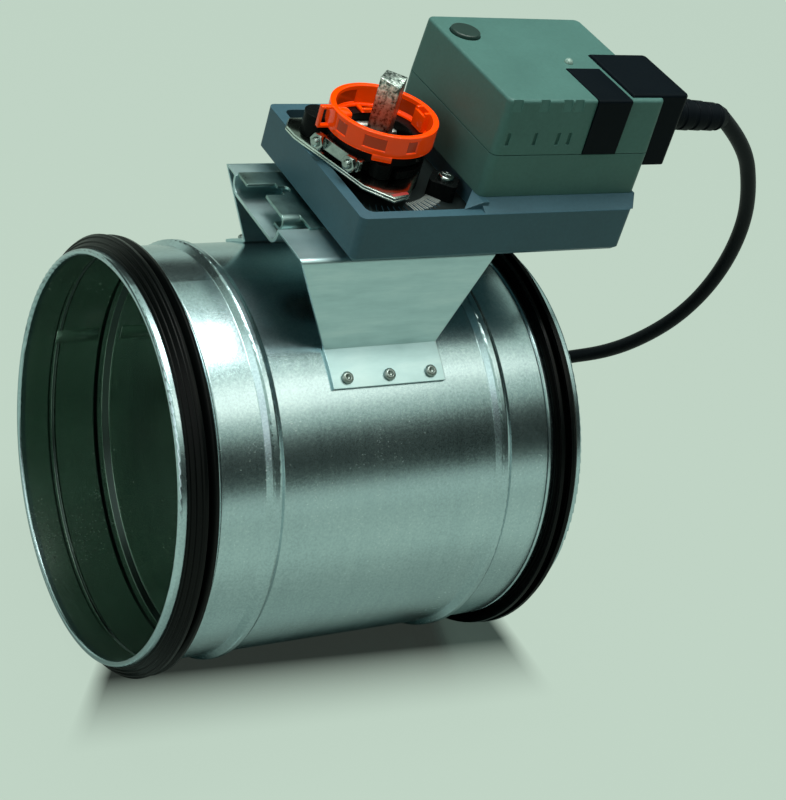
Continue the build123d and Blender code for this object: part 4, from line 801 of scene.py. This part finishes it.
class ActuatorOperator(bpy.types.Operator):
    """Finishes the actuator's base, housing and covers."""

    bl_idname = "damper.actuator"
    bl_label = "Actuator"

    def execute(self, context):
        sizes = context.scene.damper_sizes
        dress(["actuator_base"], base_finish(tuple(sizes.base_colour)))
        housing = plastic_finish("housing_plastic", tuple(sizes.housing_colour), 0.45, 700.0, 0.15,
                                 Specular_IOR_Level=0.3)
        dress(["housing_lower", "housing_cover"], housing)
        black = black_finish("black_plastic", (0.003, 0.006, 0.009), 0.4)
        dress(["plug_cap", "side_cover"], black)
        dress(["release_button"], plastic_finish("button_plastic", (0.02, 0.05, 0.042), 0.35))
        dress(["cable_boot"], black_finish("boot_rubber", (0.006, 0.009, 0.012), 0.42))
        dress(["circuit_board"], plastic_finish("board_green", (0.02, 0.12, 0.05), 0.4))
        dress(["status_lens"], plastic_finish("lens_clear", (0.30, 0.46, 0.40), 0.2))
        dress(["output_gear", "first_gear", "second_gear"],
              plastic_finish("gear_acetal", (0.7, 0.7, 0.66), 0.4))
        dress(["motor", "motor_rotor", "gear_plate", "gear_axles"],
              steel_finish("inner_steel", (0.6, 0.64, 0.62), 0.3, 0.5))
        return {"FINISHED"}


PLATE_OUTLINE = (
    (-22.6, 26.0), (-26.0, 20.5), (-25.6, 14.0), (-14.9, -21.8), (-6.8, -31.2),
    (0.6, -28.6), (13.6, -12.0), (17.5, 6.0), (10.0, 17.5), (-14.0, 26.2),
)
PLATE_LAYERS = ((130.1, 131.0, 1.0), (131.02, 132.0, 0.992))
NECK_HOLE = 13.42
BOLT_TURN = 18.0
LEG_SPREAD = 8.2
LEG_HEIGHT = 136.7
LEG_BORE = 1.62
NUT_FACE = -20.6
NUT_RADIUS = 3.3
NUT_THICKNESS = 2.5
THREAD_START = -23.1
SCALE_TICKS = 13


class ClampOperator(bpy.types.Operator):
    """Builds the pointer plate, nuts, jaw ends and scale marks, and finishes the hub and the end stop."""

    bl_idname = "damper.clamp"
    bl_label = "Clamp"

    def execute(self, context):
        black = black_finish("hub_plastic", (0.006, 0.008, 0.008), 0.26, 2.0)
        dress(["output_hub", "end_stop"], black)
        plated = steel_finish("clamp_zinc", (0.40, 0.47, 0.45), 0.1, 0.26, 260.0)
        dress(["clamp_u_bolt", "clamp_yoke", "end_stop_screw"], plated)
        dress(["clamp_jaws"], steel_finish("sintered_jaw", (0.45, 0.5, 0.48), 0.4, 0.6))
        self.cut_plate()
        self.turn_nuts(plated)
        self.mark_scale()
        self.seat_jaws()
        return {"FINISHED"}

    def seat_jaws(self):
        """Grey ends of the clamp's jaws that show inside the ring beside the shaft."""
        mesh = bmesh.new()
        block(mesh, (-3.0, 9.6, 134.6), (4.6, 12.6, 138.4), 0.0, 0.7)
        block(mesh, (8.6, 2.4, 134.6), (12.4, 8.6, 138.2), 12.0, 0.7)
        grey = steel_finish("jaw_end", (0.52, 0.56, 0.53), 0.35, 0.6, 400.0)
        piece = mesh_piece("jaw_ends", mesh, grey, "blade_unit")
        smooth(piece, 30.0)

    def cut_plate(self):
        """Pointer plate of two pressed layers round the hub's neck."""
        mesh = bmesh.new()
        for low, high, share in PLATE_LAYERS:
            before = set(mesh.faces)
            rim = [mesh.verts.new(at(x * share, y * share, low)) for x, y in PLATE_OUTLINE]
            edges = [mesh.edges.new(pair) for pair in zip(rim, rim[1:] + rim[:1])]
            hole = bmesh.ops.create_circle(mesh, cap_ends=False, segments=72, radius=NECK_HOLE * MM)["verts"]
            bmesh.ops.translate(mesh, vec=at(0, 0, low), verts=hole)
            edges += edges_of(hole)
            bmesh.ops.triangle_fill(mesh, edges=edges, use_beauty=True)
            flat = [face for face in mesh.faces if face not in before]
            raised = bmesh.ops.extrude_face_region(mesh, geom=flat)["geom"]
            verts = [g for g in raised if isinstance(g, bmesh.types.BMVert)]
            bmesh.ops.translate(mesh, vec=(0, 0, (high - low) * MM), verts=verts)
            layer = [face for face in mesh.faces if face not in before]
            bmesh.ops.recalc_face_normals(mesh, faces=layer)
            round_edges(mesh, sharp_edges({e for face in layer for e in face.edges}, 25.0), 0.22)
        piece = mesh_piece("pointer", mesh, plate_finish(), "blade_unit", ("pointer_plate",))
        smooth(piece, 30.0)

    def turn_nuts(self, plated):
        """Hexagon nuts with broken corners and the threaded ends of the U-bolt."""
        mesh = bmesh.new()
        turn = Matrix.Rotation(math.radians(BOLT_TURN), 3, "Z")
        upright = Matrix.Rotation(math.radians(-90.0), 3, "Y")
        for side in (-1, 1):
            ring = bmesh.ops.create_circle(mesh, cap_ends=False, segments=6, radius=NUT_RADIUS * MM)["verts"]
            bore = bmesh.ops.create_circle(mesh, cap_ends=False, segments=24, radius=LEG_BORE * MM)["verts"]
            verts = self.raise_nut(mesh, ring, bore)
            bmesh.ops.rotate(mesh, cent=(0, 0, 0), matrix=upright, verts=verts)
            bmesh.ops.translate(mesh, vec=at(NUT_FACE, side * LEG_SPREAD, LEG_HEIGHT), verts=verts)
            bmesh.ops.rotate(mesh, cent=at(0, 0, 0), matrix=turn, verts=verts)
            self.cut_thread(mesh, side, turn)
        piece = mesh_piece("clamp_nut_pair", mesh, plated, "blade_unit", ("clamp_nuts",))
        smooth(piece, 30.0)

    def raise_nut(self, mesh, ring, bore):
        """Nut raised from its two rings, with bevelled rims; returns its vertices."""
        before = set(mesh.faces)
        bmesh.ops.bridge_loops(mesh, edges=edges_of(ring) + edges_of(bore))
        flat = [face for face in mesh.faces if face not in before]
        raised = bmesh.ops.extrude_face_region(mesh, geom=flat)["geom"]
        lifted = [g for g in raised if isinstance(g, bmesh.types.BMVert)]
        bmesh.ops.translate(mesh, vec=(0, 0, NUT_THICKNESS * MM), verts=lifted)
        faces = [face for face in mesh.faces if face not in before]
        bmesh.ops.recalc_face_normals(mesh, faces=faces)
        round_edges(mesh, sharp_edges({e for face in faces for e in face.edges}, 25.0), 0.25)
        faces = [face for face in mesh.faces if face not in before]
        return list({vert for face in faces for vert in face.verts})

    def cut_thread(self, mesh, side, turn):
        """Ridged end of one leg past its nut."""
        axis = turn @ Vector((1.0, 0.0, 0.0))
        leg = side * LEG_SPREAD
        profile = [(THREAD_START, 0.05), (THREAD_START, LEG_BORE)]
        for k in range(3):
            crest = THREAD_START - 0.1 - k * 0.42
            profile += [(crest, 1.64), (crest - 0.21, 1.36)]
        profile += [(-24.5, 1.25), (-24.6, 0.9), (-24.6, 0.05)]
        points = [turned(turn, x, leg + r, LEG_HEIGHT) for x, r in profile]
        lathe(mesh, points, 28, turned(turn, THREAD_START, leg, LEG_HEIGHT), axis)

    def mark_scale(self):
        """Fine light ticks on the recess floor beside the pointer."""
        mesh = bmesh.new()
        for k in range(SCALE_TICKS):
            block(mesh, (23.4, -0.22, 124.55), (29.4, 0.22, 125.12), -80.0 + 2.5 * k, 0.08)
        light = plastic_finish("scale_light", (0.42, 0.50, 0.48), 0.4)
        piece = mesh_piece("scale_marks", mesh, light, "duct_unit")
        smooth(piece, 30.0)


BAND_INNER = 18.0
BAND_OUTER = 20.2
BAND_FOOT = 141.4
BAND_TOP = 149.9
# First and last angle of each window, and 1 outside or -1 inside.
WINDOWS = ((-137, -113, 1), (-89, -78, 1), (-172, -158, 1), (20, 62, -1), (95, 150, -1), (-8, 12, 1))
# Two corners, turn and bevel of each hook block.
TONGUE = ((-20.0, -2.2, 145.2), (-13.9, 3.2, 149.8), 0.0, 1.1)
CLIP = (
    ((15.6, -3.4, 142.0), (18.4, -2.2, 149.7), 2.0, 0.3),
    ((15.6, 2.2, 142.0), (18.4, 3.4, 149.7), 2.0, 0.3),
    ((15.3, -3.4, 142.0), (16.3, 3.4, 148.6), 2.0, 0.3),
)
PRONG = (
    ((-1.0, 12.4, 141.6), (3.2, 13.6, 143.2), 0.0, 0.3),
    ((-1.2, 12.4, 141.6), (0.2, 17.6, 142.6), 0.0, 0.3),
)
FOOT = ((18.7, -3.6, 139.4), (20.2, 3.6, 141.8), -114.0, 0.25)
# Tones that set each face's colour and painted glow.
SUNK_TONE = 0.08
WALL_TONE = 0.5
RIM_GLOW_TONE = 1.0


class RingOperator(bpy.types.Operator):
    """Builds the clear orange position ring."""

    bl_idname = "damper.ring"
    bl_label = "Position ring"

    def execute(self, context):
        mesh = bmesh.new()
        tone = mesh.loops.layers.float_color.new("tone")
        pocket = mesh.faces.layers.int.new("pocket")
        self.turn_band(mesh)
        self.cut_windows(mesh, pocket)
        self.add_tab(mesh)
        self.add_hooks(mesh)
        mesh.normal_update()
        for face in mesh.faces:
            self.set_tone(face, tone, face[pocket] == 1)
        piece = mesh_piece("clear_ring", mesh, orange_finish(), "blade_unit",
                           ("position_ring",))
        smooth(piece, 30.0)
        return {"FINISHED"}

    def turn_band(self, mesh):
        """Band of the ring with a fine ledge at its foot, and rounded rims."""
        ledge = BAND_INNER - 0.6
        section = ((BAND_INNER, BAND_FOOT), (BAND_OUTER, BAND_FOOT), (BAND_OUTER, 143.4), (BAND_OUTER, 148.3),
                   (BAND_OUTER, BAND_TOP), (BAND_INNER, BAND_TOP), (BAND_INNER, 148.3), (BAND_INNER, 142.6),
                   (ledge, 142.4), (ledge, BAND_FOOT))
        lathe(mesh, [at(r, 0, z) for r, z in section], 144, at(0, 0, 0), (0, 0, 1), 0.4)

    def cut_windows(self, mesh, pocket):
        """Shallow pockets in the band, outside and inside."""
        centre = at(0, 0, 0)
        for start, end, side in WINDOWS:
            chosen = []
            for face in mesh.faces:
                place = face.calc_center_median() - centre
                angle = math.degrees(math.atan2(place.y, place.x))
                radius = math.hypot(place.x, place.y) / MM
                wall = radius > BAND_OUTER - 0.2 if side > 0 else radius < BAND_INNER + 0.2
                tall = face.calc_area() > 3.0 * MM * MM
                if start < angle < end and wall and tall and abs(face.normal.z) < 0.1:
                    chosen.append(face)
            if chosen:
                bmesh.ops.inset_region(mesh, faces=chosen, thickness=0.3 * MM, depth=-0.35 * MM)
                for face in chosen:
                    face[pocket] = 1

    def add_tab(self, mesh):
        """Framed tab that stands out at the left, its front and back joined round the window."""
        before = set(mesh.faces)
        verts = block(mesh, (-24.4, 2.4, 141.4), (-18.4, 4.4, 149.8), 0.0, 0.0)
        sides = [f for f in mesh.faces if f not in before and abs(f.normal.y) > 0.9]
        bmesh.ops.inset_individual(mesh, faces=sides, thickness=1.45 * MM)
        rims = [list(face.edges) for face in sides]
        bmesh.ops.delete(mesh, geom=sides, context="FACES_ONLY")
        bmesh.ops.bridge_loops(mesh, edges=rims[0] + rims[1])
        made = [f for f in mesh.faces if f not in before]
        bmesh.ops.recalc_face_normals(mesh, faces=made)
        round_edges(mesh, sharp_edges({e for f in made for e in f.edges}), 0.28)

    def add_hooks(self, mesh):
        """Curled tongue beside the tab, inner clip, prong and hanging foot."""
        for low, high, turn, bevel in (TONGUE, *CLIP, *PRONG, FOOT):
            block(mesh, low, high, turn, bevel)

    def set_tone(self, face, tone, sunk):
        """Rims glow most, walls are mid and pockets dark; the tone sets both colour and painted glow."""
        up = abs(face.normal.z)
        level = SUNK_TONE if sunk else WALL_TONE
        if not sunk and (up > 0.25 or face.calc_area() < 0.35 * MM * MM):
            level = RIM_GLOW_TONE
        for loop in face.loops:
            loop[tone] = (level, level, level, 1.0)


class DamperPanel(bpy.types.Panel):
    """Lists the operators and the sizes."""

    bl_idname = "VIEW3D_PT_damper"
    bl_label = "Damper"
    bl_space_type = "VIEW_3D"
    bl_region_type = "UI"
    bl_category = "Damper"

    def draw(self, context):
        sizes = context.scene.damper_sizes
        for name in DamperSizes.__annotations__:
            self.layout.prop(sizes, name)
        for step in STEPS:
            self.layout.operator(step.bl_idname)


STEPS = (CameraOperator, CableOperator, StageOperator, DuctOperator, BracketOperator, ActuatorOperator,
         ClampOperator, RingOperator)
CLASSES = (DamperSizes, *STEPS, DamperPanel)


def register():
    """Registers the classes and the sizes."""
    for cls in CLASSES:
        bpy.utils.register_class(cls)
    bpy.types.Scene.damper_sizes = bpy.props.PointerProperty(type=DamperSizes)


def unregister():
    """Removes the sizes and the classes."""
    del bpy.types.Scene.damper_sizes
    for cls in reversed(CLASSES):
        bpy.utils.unregister_class(cls)


def main():
    """Dresses the damper."""
    register()
    bpy.context.scene.view_settings.view_transform = "Standard"
    for old in ("Cube", "Light", "Camera"):
        if old in bpy.data.objects:
            bpy.data.objects.remove(bpy.data.objects[old])
    for step in STEPS:
        group, name = step.bl_idname.split(".")
        getattr(getattr(bpy.ops, group), name)()


if __name__ == "__main__":
    main()
